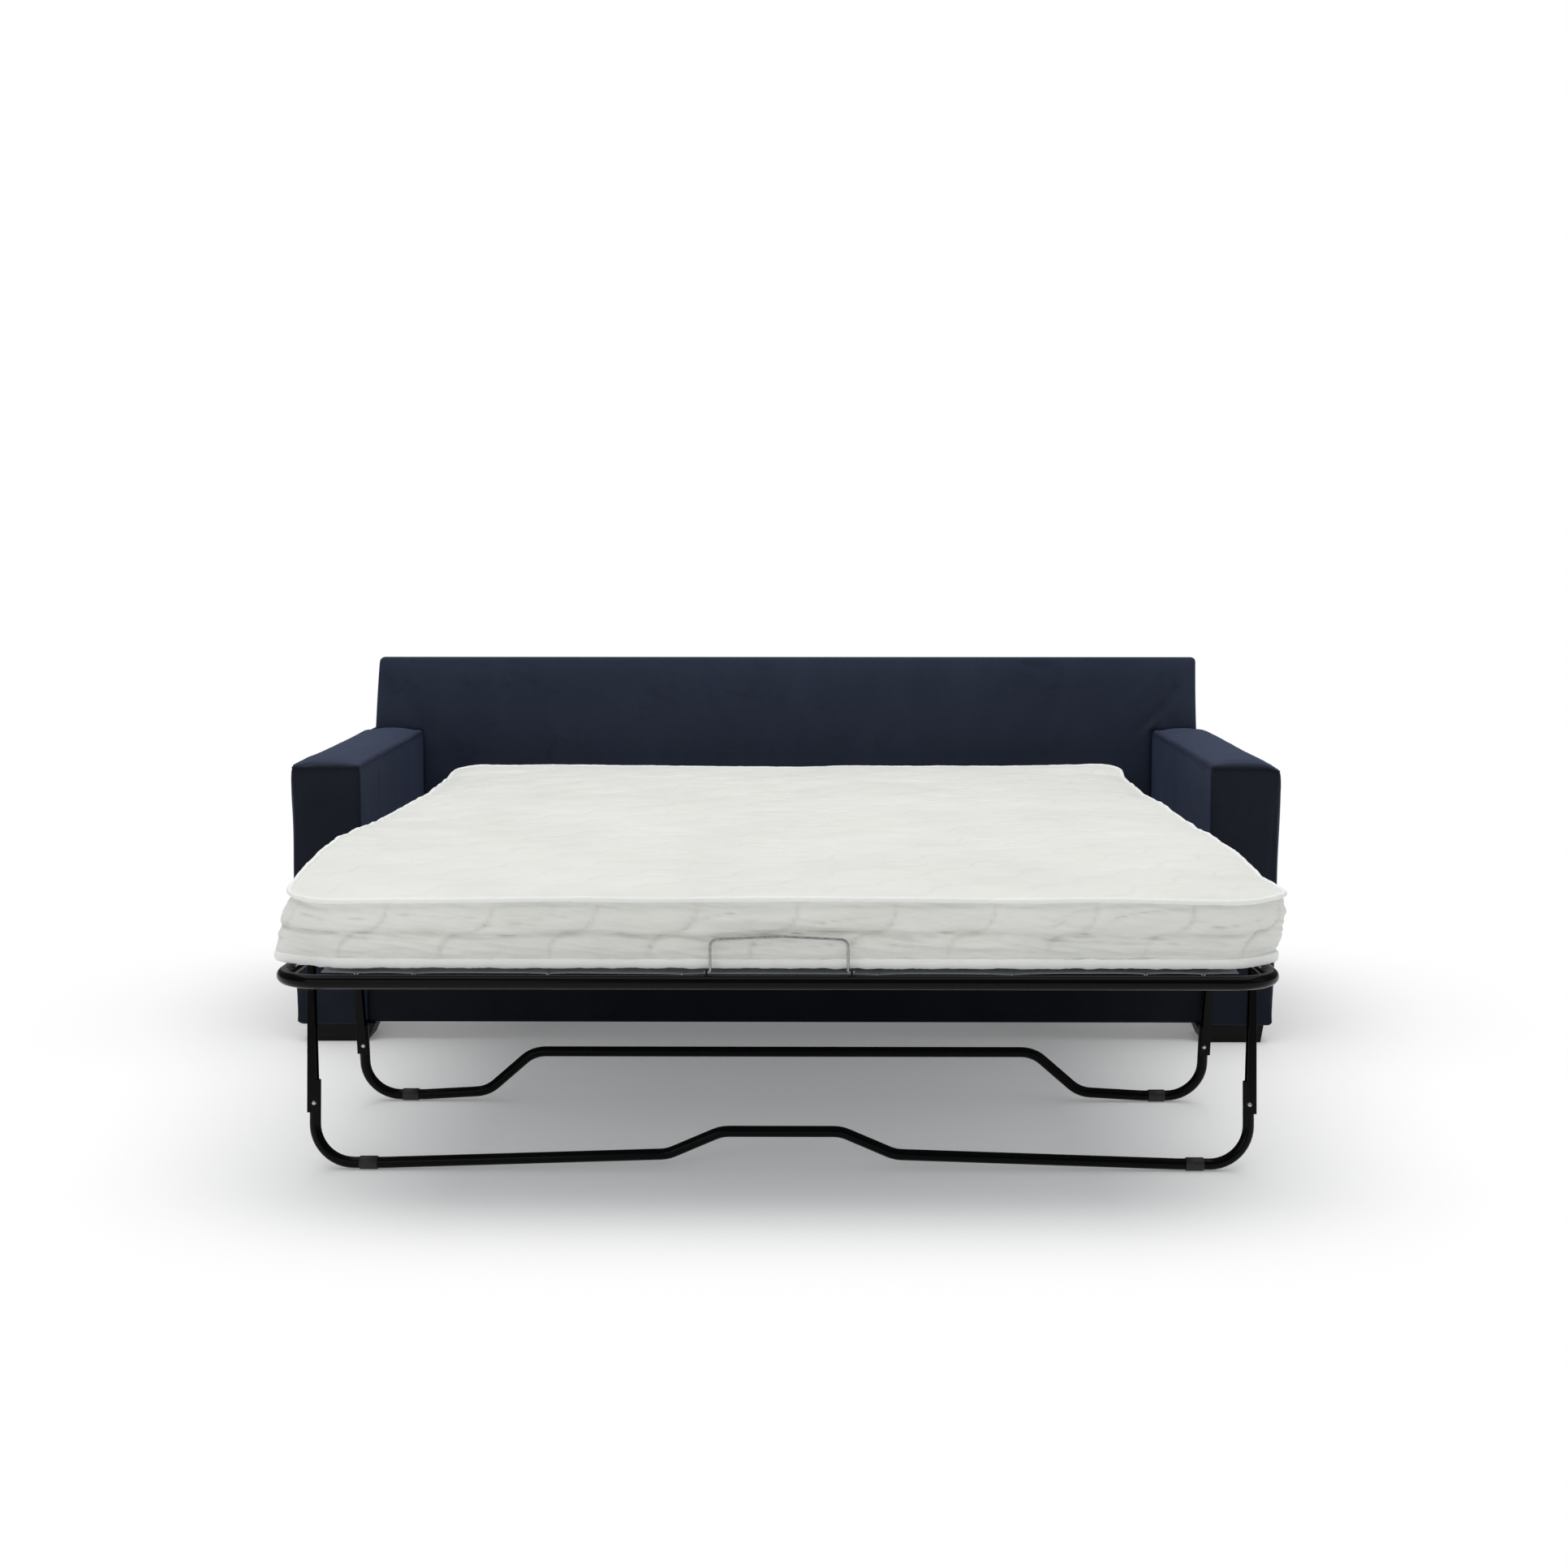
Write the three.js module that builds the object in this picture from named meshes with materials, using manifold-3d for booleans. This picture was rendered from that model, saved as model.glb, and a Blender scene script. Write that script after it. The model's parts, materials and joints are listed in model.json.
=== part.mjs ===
// Pull-out sofa bed, shown opened: an upholstered sofa shell with no loose cushions, a four-section
// folding bed frame of bent steel tube, two U-shaped legs, and a quilted mattress.
// Millimetres. X runs across the sofa, +Y points to its back, +Z is up, and Z = 0 is the floor.
// Sizes here are written with Y = 0 in the plane of the arms' front faces, so the bed stands at negative
// Y. The finished group is moved along Y to put the origin under the middle of the opened sofa bed.
import * as THREE from 'three';
import { mergeVertices } from 'three/addons/utils/BufferGeometryUtils.js';
import Module from 'manifold-3d';

const wasm = await Module();
wasm.setup();

// ---- sofa shell ----
const HALF_WIDTH = 1011;        // centre line to an arm's outer face
const ARM_WIDTH = 138;
const DEPTH = 950;              // arm front to sofa back
const BASE_Z = 38;              // underside of the upholstery, the height of the feet
const ARM_SEAM_Z = 576;         // top edge of the arm's boxing
const ARM_CROWN = 16;           // rise of the padded arm top above that edge
const PAD_DEPTH = 35;           // side height of the separate arm pad
const BACK_TOP_Z = 750;
const BACK_LOW_Z = 470;         // underside of the padded back
const BACK_FRONT_Y = 780;       // front face of the back, at its underside
const BACK_LEAN = 20;           // how much further back the top of that face is
const BACK_HALF_WIDTH = 975;    // the back ends a little inside the arms' outer faces
const RAIL_FRONT_Y = 25;        // the front rail is set back from the arm fronts
const RAIL_THICK = 45;
const RAIL_TOP_Z = 220;
const FOOT_LENGTH = 100;

// ---- bed, seen from the side ----
const HINGE_Z = 390;            // height of the tube frame's centre line
const FOOT_END_Y = -1270;       // centre of the tube across the foot end
const FOOT_FOLD = 410;          // lengths of the four folding sections
const KNEE_FOLD = 325;
const BODY_FOLD = 575;
const HEAD_FOLD = 520;
const K_Y = FOOT_END_Y + FOOT_FOLD;   // hinge line between foot and knee sections
const P_Y = K_Y + KNEE_FOLD;          // between knee and body sections
const A_Y = P_Y + BODY_FOLD;          // between body and head sections
const HEAD_END_Y = A_Y + HEAD_FOLD;

// ---- frame tube ----
const RAIL_X = 744;             // centre of a side rail
const RAIL_R = 11;
const CROSS_R = 8;
const END_GAP = 17;             // how far tubes and deck fabric stop short of a hinge line
const FOOT_BEND = 70;
const HEAD_BEND = 60;

// ---- flat steel ----
const STRAP_IN = 754.4;         // inner hinge strap, welded to the rail
const STRAP_MID = 758.2;
const STRAP_OUT = 761.8;
const PIN_R = 4;
const RUN = 0.25;               // running clearance round a pin

// ---- swing links ----
const LINK_X = 825;             // plane of the links, between bed frame and arm
const LINK_THICK = 6;
const LINK_RADIUS = 350.3;      // pivot to pivot
const LINK_ANGLE = 144.2;       // of an open link, from +Y towards +Z, in degrees
const STUD_R = 6;
const LINK_HALF = 12;
// The links' pivots on the body section: how far behind its front hinge line, and above it. The front
// one is higher, so that the parallel links never come into line with each other.
const REAR_PIVOT = [548, -20];
const FRONT_PIVOT = [439, 20];

// ---- legs ----
const LEG_X = 780;
const LEG_R = 9.5;
const GLIDE_R = 11.3;
const GLIDE_LENGTH = 30;
const LEG_BEND = 65;
const RIVET_UP = 112;           // height of the rivet above the floor, along the leg
const CHANNEL_WALL = 1.8;

// ---- mattress and deck ----
const MATTRESS_HALF = 750;
const MATTRESS_LOW = 407.5;
const MATTRESS_TOP = 515;
const MATTRESS_FOOT_Y = -1262;
const DECK_HALF = 700;
const DECK_Z = 402.5;
const DECK_THICK = 3;

const ORIGIN_SHIFT = 165.3;     // from the arm fronts to the middle of the opened length

const rad = THREE.MathUtils.degToRad;
const NAVY = { color: 0x20263a, roughness: 0.85, metalness: 0 };
const NAVY_TOP = { color: 0x2a3048, roughness: 0.85, metalness: 0 };
const BLACK_STEEL = { color: 0x0b0b0c, roughness: 0.3, metalness: 0.3 };
const ZINC = { color: 0xb9bcc0, roughness: 0.35, metalness: 0.9 };
const BLACK_PLASTIC = { color: 0x121213, roughness: 0.55, metalness: 0 };
const BLACK_WOOD = { color: 0x101010, roughness: 0.6, metalness: 0 };
const PINE = { color: 0xb08a5c, roughness: 0.75, metalness: 0 };
const TICKING = { color: 0xe4e6e2, roughness: 0.9, metalness: 0 };
const DECK_CLOTH = { color: 0x8a97a6, roughness: 0.9, metalness: 0 };
const LABEL = { color: 0x8d9093, roughness: 0.6, metalness: 0 };

// ---- solids ----

// A closed geometry as a manifold solid, with its faces turned outwards.
function solid(geometry) {
  let g = geometry.clone();
  g.deleteAttribute('normal');
  g.deleteAttribute('uv');
  g = mergeVertices(g, 1e-4);
  const p = g.getAttribute('position').array;
  const t = Array.from(g.getIndex().array);
  let volume = 0;
  for (let i = 0; i < t.length; i += 3) {
    const [a, b, c] = [0, 1, 2].map((k) => new THREE.Vector3().fromArray(p, 3 * t[i + k]));
    volume += a.dot(b.cross(c));
  }
  if (volume < 0) for (let i = 0; i < t.length; i += 3) [t[i + 1], t[i + 2]] = [t[i + 2], t[i + 1]];
  const mesh = { numProp: 3, vertProperties: new Float32Array(p), triVerts: new Uint32Array(t) };
  return new wasm.Manifold(new wasm.Mesh(mesh));
}

function geometryOf(shape) {
  const mesh = shape.getMesh();
  const g = new THREE.BufferGeometry();
  g.setAttribute('position', new THREE.BufferAttribute(new Float32Array(mesh.vertProperties), 3));
  g.setIndex(new THREE.BufferAttribute(new Uint32Array(mesh.triVerts), 1));
  g.computeVertexNormals();
  return g;
}

const join = (...parts) => parts.reduce((a, b) => a.add(b));
const cut = (part, ...tools) => tools.reduce((a, b) => a.subtract(b), part);

function box(x0, x1, y0, y1, z0, z1) {
  const g = new THREE.BoxGeometry(x1 - x0, y1 - y0, z1 - z0);
  return solid(g.translate((x0 + x1) / 2, (y0 + y1) / 2, (z0 + z1) / 2));
}

// A side-view outline, [y, z] points, carried from x0 to x1.
function sidePlate(outline, x0, x1) {
  const shape = new THREE.Shape(outline.map(([y, z]) => new THREE.Vector2(y, z)));
  const g = new THREE.ExtrudeGeometry(shape, { depth: x1 - x0, bevelEnabled: false });
  g.applyMatrix4(new THREE.Matrix4().set(0, 0, 1, x0, 1, 0, 0, 0, 0, 1, 0, 0, 0, 0, 0, 1));
  return solid(g);
}

// A front-view outline, [x, z] points, carried from y0 to y1.
function frontPlate(outline, y0, y1) {
  const shape = new THREE.Shape(outline.map(([x, z]) => new THREE.Vector2(x, z)));
  const g = new THREE.ExtrudeGeometry(shape, { depth: y1 - y0, bevelEnabled: false });
  g.applyMatrix4(new THREE.Matrix4().set(1, 0, 0, 0, 0, 0, 1, y0, 0, 1, 0, 0, 0, 0, 0, 1));
  return solid(g);
}

// A plan outline, [x, y] points, carried from z0 to z1.
function planPlate(outline, z0, z1) {
  const shape = new THREE.Shape(outline.map(([x, y]) => new THREE.Vector2(x, y)));
  const g = new THREE.ExtrudeGeometry(shape, { depth: z1 - z0, bevelEnabled: false });
  return solid(g.translate(0, 0, z0));
}

// A turned piece about the X direction: [x, radius] steps through (y, z), closed on the axis.
function turned(steps, y, z, sides = 12) {
  const first = steps[0][0];
  const last = steps[steps.length - 1][0];
  const profile = [[0, first], ...steps.map(([x, r]) => [r, x]), [0, last]];
  const g = new THREE.LatheGeometry(profile.map(([r, x]) => new THREE.Vector2(r, x)), sides);
  return solid(g.rotateZ(-Math.PI / 2).translate(0, y, z));
}

// A ring about the X direction, from x0 to x1.
function ring(x0, x1, inner, outer, y, z, sides = 16) {
  const profile = [[inner, x0], [outer, x0], [outer, x1], [inner, x1], [inner, x0]];
  const g = new THREE.LatheGeometry(profile.map(([r, x]) => new THREE.Vector2(r, x)), sides);
  return solid(g.rotateZ(-Math.PI / 2).translate(0, y, z));
}

const mirrored = (shape) => shape.mirror([1, 0, 0]);
const onSide = (side, shape) => (side > 0 ? shape : mirrored(shape));

// A round-ended strip in side view, from one [y, z] centre to another.
function strip(from, to, radius, steps = 6) {
  const turn = Math.atan2(to[1] - from[1], to[0] - from[0]);
  const end = (c, start) => Array.from({ length: steps + 1 }, (_, i) => {
    const a = start + (Math.PI * i) / steps;
    return [c[0] + radius * Math.cos(a), c[1] + radius * Math.sin(a)];
  });
  return [...end(from, turn + Math.PI / 2), ...end(to, turn - Math.PI / 2)];
}

// ---- tube ----

// A path through given points, one tube ring at each.
class PointPath extends THREE.Curve {
  constructor(points) {
    super();
    this.points = points;
  }

  getPoint(t, target = new THREE.Vector3()) {
    const u = t * (this.points.length - 1);
    const i = Math.min(Math.floor(u + 1e-9), this.points.length - 2);
    return target.lerpVectors(this.points[i], this.points[i + 1], u - i);
  }

  getPointAt(u, target) {
    return this.getPoint(u, target);
  }

  getTangentAt(u, target = new THREE.Vector3()) {
    const i = Math.round(u * (this.points.length - 1));
    const a = this.points[Math.max(i - 1, 0)];
    const b = this.points[Math.min(i + 1, this.points.length - 1)];
    const c = this.points[i];
    const before = c.clone().sub(a).normalize();
    const after = b.clone().sub(c).normalize();
    return target.copy(before.add(after)).normalize();
  }
}

// Corner points with each inner corner rounded to its bend radius.
function bent(corners, radii, steps = 5) {
  const out = [corners[0]];
  for (let i = 1; i < corners.length - 1; i += 1) {
    const toA = corners[i - 1].clone().sub(corners[i]).normalize();
    const toB = corners[i + 1].clone().sub(corners[i]).normalize();
    const half = toA.angleTo(toB) / 2;
    const r = radii[i - 1];
    const centre = toA.clone().add(toB).normalize().multiplyScalar(r / Math.sin(half)).add(corners[i]);
    const start = toA.clone().multiplyScalar(r / Math.tan(half)).add(corners[i]).sub(centre);
    const end = toB.clone().multiplyScalar(r / Math.tan(half)).add(corners[i]).sub(centre);
    const axis = start.clone().cross(end).normalize();
    const sweep = start.angleTo(end);
    const n = Math.max(2, Math.round((steps * sweep) / (Math.PI / 2)));
    for (let k = 0; k <= n; k += 1) {
      out.push(start.clone().applyAxisAngle(axis, (sweep * k) / n).add(centre));
    }
  }
  out.push(corners[corners.length - 1]);
  return out;
}

function tube(points, radius, sides = 10) {
  const circle = Array.from({ length: sides }, (_, i) => {
    const a = (2 * Math.PI * (i + 0.5)) / sides;
    return new THREE.Vector2(radius * Math.cos(a), radius * Math.sin(a));
  });
  const settings = { steps: points.length - 1, extrudePath: new PointPath(points), bevelEnabled: false };
  return solid(new THREE.ExtrudeGeometry(new THREE.Shape(circle), settings));
}

const v = (x, y, z) => new THREE.Vector3(x, y, z);

// ---- scene ----

const sofaBed = new THREE.Group();
sofaBed.name = 'sofa_bed';
sofaBed.position.y = ORIGIN_SHIFT;

function place(name, shape, finish) {
  const mesh = new THREE.Mesh(geometryOf(shape), new THREE.MeshStandardMaterial(finish));
  mesh.name = name;
  sofaBed.add(mesh);
}

const SIDES = [['left', -1], ['right', 1]];

// ---- sofa shell ----

function arm() {
  const padTop = ARM_SEAM_Z - PAD_DEPTH;
  const padEnd = BACK_FRONT_Y - 0.3;
  const outline = [[0, BASE_Z], [DEPTH, BASE_Z], [DEPTH, ARM_SEAM_Z], [padEnd, ARM_SEAM_Z], [padEnd, padTop],
    [0, padTop]];
  return sidePlate(outline, HALF_WIDTH - ARM_WIDTH, HALF_WIDTH);
}

function armPad() {
  const inner = HALF_WIDTH - ARM_WIDTH;
  const low = ARM_SEAM_Z - PAD_DEPTH + 0.3;
  const top = ARM_SEAM_Z + ARM_CROWN;
  const outline = [[inner, low], [HALF_WIDTH, low], [HALF_WIDTH, top - 24], [HALF_WIDTH - 6, top - 10],
    [HALF_WIDTH - 16, top - 2.5], [HALF_WIDTH - 32, top], [inner + 44, top], [inner + 22, top - 3],
    [inner + 7, top - 9], [inner, ARM_SEAM_Z]];
  return frontPlate(outline, 0, BACK_FRONT_Y - 0.6);
}

function backOutline(low) {
  const at = (z) => BACK_FRONT_Y + (BACK_LEAN * (z - BACK_LOW_Z)) / (BACK_TOP_Z - BACK_LOW_Z);
  return [[at(low), low], [at(BACK_TOP_Z - 14), BACK_TOP_Z - 14], [at(BACK_TOP_Z) + 4, BACK_TOP_Z - 4],
    [at(BACK_TOP_Z) + 14, BACK_TOP_Z], [DEPTH - 14, BACK_TOP_Z], [DEPTH - 4, BACK_TOP_Z - 4],
    [DEPTH, BACK_TOP_Z - 14], [DEPTH, low]];
}

function back() {
  const between = HALF_WIDTH - ARM_WIDTH - 0.4;
  const upper = sidePlate(backOutline(ARM_SEAM_Z + 0.4), -BACK_HALF_WIDTH, BACK_HALF_WIDTH);
  return join(upper, sidePlate(backOutline(BACK_LOW_Z), -between, between));
}

function foot(y0) {
  const outline = [[855, BASE_Z - 0.3], [996, BASE_Z - 0.3], [990, 0], [871, 0]];
  return frontPlate(outline, y0, y0 + FOOT_LENGTH);
}

const bodyPivot = ([behind, above]) => [P_Y + behind, HINGE_Z + above];

// The fixed pivot, on the sofa, of the link that holds a given pivot of the body section.
function rootPivot(pivot) {
  const [y, z] = bodyPivot(pivot);
  return [y - LINK_RADIUS * Math.cos(rad(LINK_ANGLE)), z - LINK_RADIUS * Math.sin(rad(LINK_ANGLE))];
}

// The steel plate on an arm's inner face, with the fixed studs of that side's two links.
function sideBracket() {
  const [ry, rz] = rootPivot(REAR_PIVOT);
  const [fy, fz] = rootPivot(FRONT_PIVOT);
  const face = HALF_WIDTH - ARM_WIDTH - 0.3;
  const outline = [[fy - 45, 80], [ry + 60, 80], [ry + 60, rz + 30], [ry + 20, rz + 60],
    [fy - 20, fz + 55], [fy - 45, fz + 30]];
  const stud = (y, z) => turned([[LINK_X - 7, 8.5], [LINK_X - 3.6, 8.5], [LINK_X - 3.6, STUD_R],
    [LINK_X + 3.6, STUD_R], [LINK_X + 3.6, 9], [face - 2, 9]], y, z);
  return join(sidePlate(outline, face - 5, face), stud(ry, rz), stud(fy, fz));
}

SIDES.forEach(([name, side]) => {
  place(`arm_${name}`, onSide(side, arm()), NAVY);
  place(`arm_pad_${name}`, onSide(side, armPad()), NAVY_TOP);
  place(`foot_front_${name}`, onSide(side, foot(15)), BLACK_WOOD);
  place(`foot_rear_${name}`, onSide(side, foot(DEPTH - 15 - FOOT_LENGTH)), BLACK_WOOD);
  place(`side_bracket_${name}`, onSide(side, sideBracket()), BLACK_STEEL);
});
const INSIDE = HALF_WIDTH - ARM_WIDTH - 0.4;
place('back', back(), NAVY);
place('front_rail', box(-INSIDE, INSIDE, RAIL_FRONT_Y, RAIL_FRONT_Y + RAIL_THICK, BASE_Z, RAIL_TOP_Z), NAVY);
place('rear_rail', box(-INSIDE, INSIDE, DEPTH - 66, DEPTH - 20.4, BASE_Z, 150), PINE);
place('rear_panel', box(-INSIDE, INSIDE, DEPTH - 20, DEPTH, BASE_Z, BACK_LOW_Z - 0.4), NAVY);

// ---- swing links ----

function swingLink(pivot) {
  const root = rootPivot(pivot);
  const body = bodyPivot(pivot);
  const hole = ([y, z]) => turned([[LINK_X - 10, STUD_R + RUN], [LINK_X + 10, STUD_R + RUN]], y, z);
  const bar = sidePlate(strip(root, body, LINK_HALF), LINK_X - LINK_THICK / 2, LINK_X + LINK_THICK / 2);
  return cut(bar, hole(root), hole(body));
}

SIDES.forEach(([name, side]) => {
  place(`rear_link_${name}`, onSide(side, swingLink(REAR_PIVOT)), BLACK_STEEL);
  place(`front_link_${name}`, onSide(side, swingLink(FRONT_PIVOT)), BLACK_STEEL);
});

// ---- section frames ----

const pinHole = (y, z) => turned([[740, PIN_R + RUN], [800, PIN_R + RUN]], y, z);

// The inner hinge strap at a hinge line; way is the direction, along Y, of the rail that carries it.
const innerStrap = (y, way) => sidePlate(strip([y, HINGE_Z], [y + way * 70, HINGE_Z], 9.5), STRAP_IN,
  STRAP_MID);

// The outer strap, stood off its rail by a block.
function outerStrap(y, way) {
  const strap = sidePlate(strip([y, HINGE_Z], [y + way * 70, HINGE_Z], 9.5), STRAP_MID + 0.4, STRAP_OUT);
  const [y0, y1] = [y + way * 24, y + way * 70].sort((a, b) => a - b);
  return join(strap, box(STRAP_IN, STRAP_MID + 1, y0, y1, HINGE_Z - 8, HINGE_Z + 8));
}

// The plate that a leg hangs on, below the rail.
function hanger(y, z) {
  const outline = [[y - 24, HINGE_Z], [y - 13, z], [y - 9, z - 9], [y, z - 13], [y + 9, z - 9], [y + 13, z],
    [y + 24, HINGE_Z]];
  return sidePlate(outline, STRAP_IN, STRAP_MID);
}

const both = (shape) => join(shape, mirrored(shape));
const sideRails = (y0, y1) => both(tube([v(RAIL_X, y0, HINGE_Z), v(RAIL_X, y1, HINGE_Z)], RAIL_R));
const crossTube = (y) => tube([v(-RAIL_X, y, HINGE_Z), v(RAIL_X, y, HINGE_Z)], CROSS_R);

// Three sides of bent tube: open at y0, closed at y1.
function hoop(y0, y1, bend) {
  const corners = [v(-RAIL_X, y0, HINGE_Z), v(-RAIL_X, y1, HINGE_Z), v(RAIL_X, y1, HINGE_Z),
    v(RAIL_X, y0, HINGE_Z)];
  return tube(bent(corners, [bend, bend]), RAIL_R);
}

// ---- mattress retainer: a wire bail hinged on two ears on the foot tube ----
const BAIL_X = 103.5;
const BAIL_WIRE = 2;
const BAIL_Z = HINGE_Z + 15.5;
const BAIL_RISE = 50;

function bailEar() {
  const outline = strip([FOOT_END_Y, BAIL_Z - 8], [FOOT_END_Y, BAIL_Z], 5);
  const hole = turned([[BAIL_X, BAIL_WIRE + 0.3], [BAIL_X + 12, BAIL_WIRE + 0.3]], FOOT_END_Y, BAIL_Z);
  return cut(sidePlate(outline, BAIL_X + 4, BAIL_X + 7), hole);
}

function bail() {
  const at = (x, up) => v(x, FOOT_END_Y, BAIL_Z + up);
  const corners = [at(-BAIL_X - 10, 0), at(-BAIL_X, 0), at(-BAIL_X, BAIL_RISE), at(0, BAIL_RISE + 5),
    at(BAIL_X, BAIL_RISE), at(BAIL_X, 0), at(BAIL_X + 10, 0)];
  return tube(bent(corners, [3, 12, 300, 12, 3], 4), BAIL_WIRE, 8);
}

// ---- legs: each a bent tube riveted into two tapered channels ----
// glideX, base, arch: half widths at the glides, at the foot of the raised middle and along its top.
const FRONT_LEG = { y: K_Y - 20, z: HINGE_Z - 30, tilt: -7, glideX: 690, base: 190, arch: 100, low: 15, rise: 53 };
const MID_LEG = { y: P_Y + 20, z: HINGE_Z - 50, tilt: 8, glideX: 697, base: 553, arch: 465, low: 7, rise: 86 };

// Leg pieces are made upright under the pivot, then swung back (+) or forward by the leg's tilt.
function tilted(leg, shape) {
  const length = legLength(leg);
  const turn = new THREE.Matrix4().makeRotationX(rad(leg.tilt));
  turn.premultiply(new THREE.Matrix4().makeTranslation(0, leg.y, leg.z));
  turn.multiply(new THREE.Matrix4().makeTranslation(0, 0, -length));
  return shape.transform(turn.elements);
}

// Pivot to floor, along a leg that leans.
function legLength(leg) {
  return (leg.z - GLIDE_R) / Math.cos(rad(leg.tilt)) + GLIDE_R;
}

const rivetHole = (r) => solid(new THREE.CylinderGeometry(r, r, 40, 8).translate(LEG_X, 0, RIVET_UP));

function legTube(leg) {
  const floor = GLIDE_R;
  const half = [v(LEG_X, 0, RIVET_UP + 38), v(LEG_X, 0, floor), v(leg.glideX - GLIDE_LENGTH / 2 - 12, 0, floor),
    v(leg.base, 0, floor + leg.low), v(leg.arch, 0, floor + leg.rise)];
  const corners = [...half, ...half.map((p) => v(-p.x, p.y, p.z)).reverse()];
  const radii = [LEG_BEND, 200, 60, 60, 60, 60, 200, LEG_BEND];
  return cut(tube(bent(corners, radii), LEG_R), rivetHole(2.8), mirrored(rivetHole(2.8)));
}

function legChannel(leg) {
  const top = legLength(leg) + 12;
  const low = RIVET_UP - 16;
  const web = LEG_X + LEG_R + 0.4;
  const halfGap = LEG_R + 0.4;
  const flange = [[web + CHANNEL_WALL, low], [web + CHANNEL_WALL, top], [web - 9, top], [web - 21, low + 90],
    [web - 21, low]];
  const shape = join(
    box(web, web + CHANNEL_WALL, -halfGap - CHANNEL_WALL, halfGap + CHANNEL_WALL, low, top),
    frontPlate(flange, halfGap, halfGap + CHANNEL_WALL),
    frontPlate(flange, -halfGap - CHANNEL_WALL, -halfGap),
  );
  return cut(shape, rivetHole(2.8), pinHole(0, top - 12));
}

function legRivet() {
  const reach = LEG_R + 0.4 + CHANNEL_WALL + 0.2;
  const profile = [[0, -reach - 2], [3, -reach - 1.6], [4.4, -reach], [2.5, -reach], [2.5, reach], [4.4, reach],
    [3, reach + 1.6], [0, reach + 2]];
  const g = new THREE.LatheGeometry(profile.map(([r, y]) => new THREE.Vector2(r, y)), 8);
  return solid(g.translate(LEG_X, 0, RIVET_UP));
}

const legGlide = (leg) => ring(leg.glideX - GLIDE_LENGTH / 2, leg.glideX + GLIDE_LENGTH / 2, LEG_R + 0.3,
  GLIDE_R, 0, GLIDE_R);

// The bolt through a hanger and a leg channel, with its spacer.
function legBolt(leg) {
  const web = LEG_X + LEG_R + 0.4;
  return turned([[749, 6.5], [STRAP_IN - 0.3, 6.5], [STRAP_IN - 0.3, PIN_R], [STRAP_MID + 0.3, PIN_R],
    [STRAP_MID + 0.3, 8], [web - 0.3, 8], [web - 0.3, PIN_R], [web + CHANNEL_WALL + 0.3, PIN_R],
    [web + CHANNEL_WALL + 0.3, 7], [web + CHANNEL_WALL + 4.3, 7]], leg.y, leg.z);
}

const hingePin = (y) => turned([[749, 6.5], [STRAP_IN - 0.3, 6.5], [STRAP_IN - 0.3, PIN_R],
  [STRAP_OUT + 0.3, PIN_R], [STRAP_OUT + 0.3, 7], [STRAP_OUT + 4.3, 7]], y, HINGE_Z);

// A welded frame, drilled on both sides for the pins and bolts at the given [y, z] points.
const drilled = (holes, ...parts) => cut(join(...parts), ...holes.map(([y, z]) => both(pinHole(y, z))));
const footFrame = drilled([[K_Y, HINGE_Z], [FRONT_LEG.y, FRONT_LEG.z]],
  hoop(K_Y - END_GAP, FOOT_END_Y, FOOT_BEND), both(innerStrap(K_Y, -1)),
  both(hanger(FRONT_LEG.y, FRONT_LEG.z)), both(bailEar()));
const kneeFrame = drilled([[K_Y, HINGE_Z], [P_Y, HINGE_Z]], sideRails(K_Y + END_GAP, P_Y - END_GAP),
  crossTube(K_Y + 110), both(outerStrap(K_Y, 1)), both(outerStrap(P_Y, -1)));
const bodyFrame = drilled([[P_Y, HINGE_Z], [A_Y, HINGE_Z], [MID_LEG.y, MID_LEG.z]],
  sideRails(P_Y + END_GAP, A_Y - END_GAP), crossTube(P_Y + 120), crossTube(A_Y - 120),
  both(innerStrap(P_Y, 1)), both(innerStrap(A_Y, -1)), both(hanger(MID_LEG.y, MID_LEG.z)));
const headFrame = drilled([[A_Y, HINGE_Z]], hoop(A_Y + END_GAP, HEAD_END_Y - 8, HEAD_BEND),
  both(outerStrap(A_Y, 1)));
place('foot_frame', footFrame, BLACK_STEEL);
place('knee_frame', kneeFrame, BLACK_STEEL);
place('body_frame', bodyFrame, BLACK_STEEL);
place('head_frame', headFrame, BLACK_STEEL);
place('mattress_bail', bail(), ZINC);

// The plate on the body section's rail that carries the upper studs of that side's links.
function linkPlate() {
  const face = STRAP_OUT + 3.7;
  const stud = ([y, z]) => turned([[face + 1, 9], [LINK_X - 3.6, 9], [LINK_X - 3.6, STUD_R],
    [LINK_X + 3.6, STUD_R], [LINK_X + 3.6, 8.5], [LINK_X + 7, 8.5]], y, z);
  const front = bodyPivot(FRONT_PIVOT);
  const rear = bodyPivot(REAR_PIVOT);
  const block = box(RAIL_X + RAIL_R + 0.3, face + 1, front[0] + 13, A_Y - 83, HINGE_Z - 1, HINGE_Z + 9);
  return join(sidePlate(strip(front, rear, 16), face, face + 4), block, stud(front), stud(rear));
}

SIDES.forEach(([name, side]) => place(`link_plate_${name}`, onSide(side, linkPlate()), BLACK_STEEL));

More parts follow.
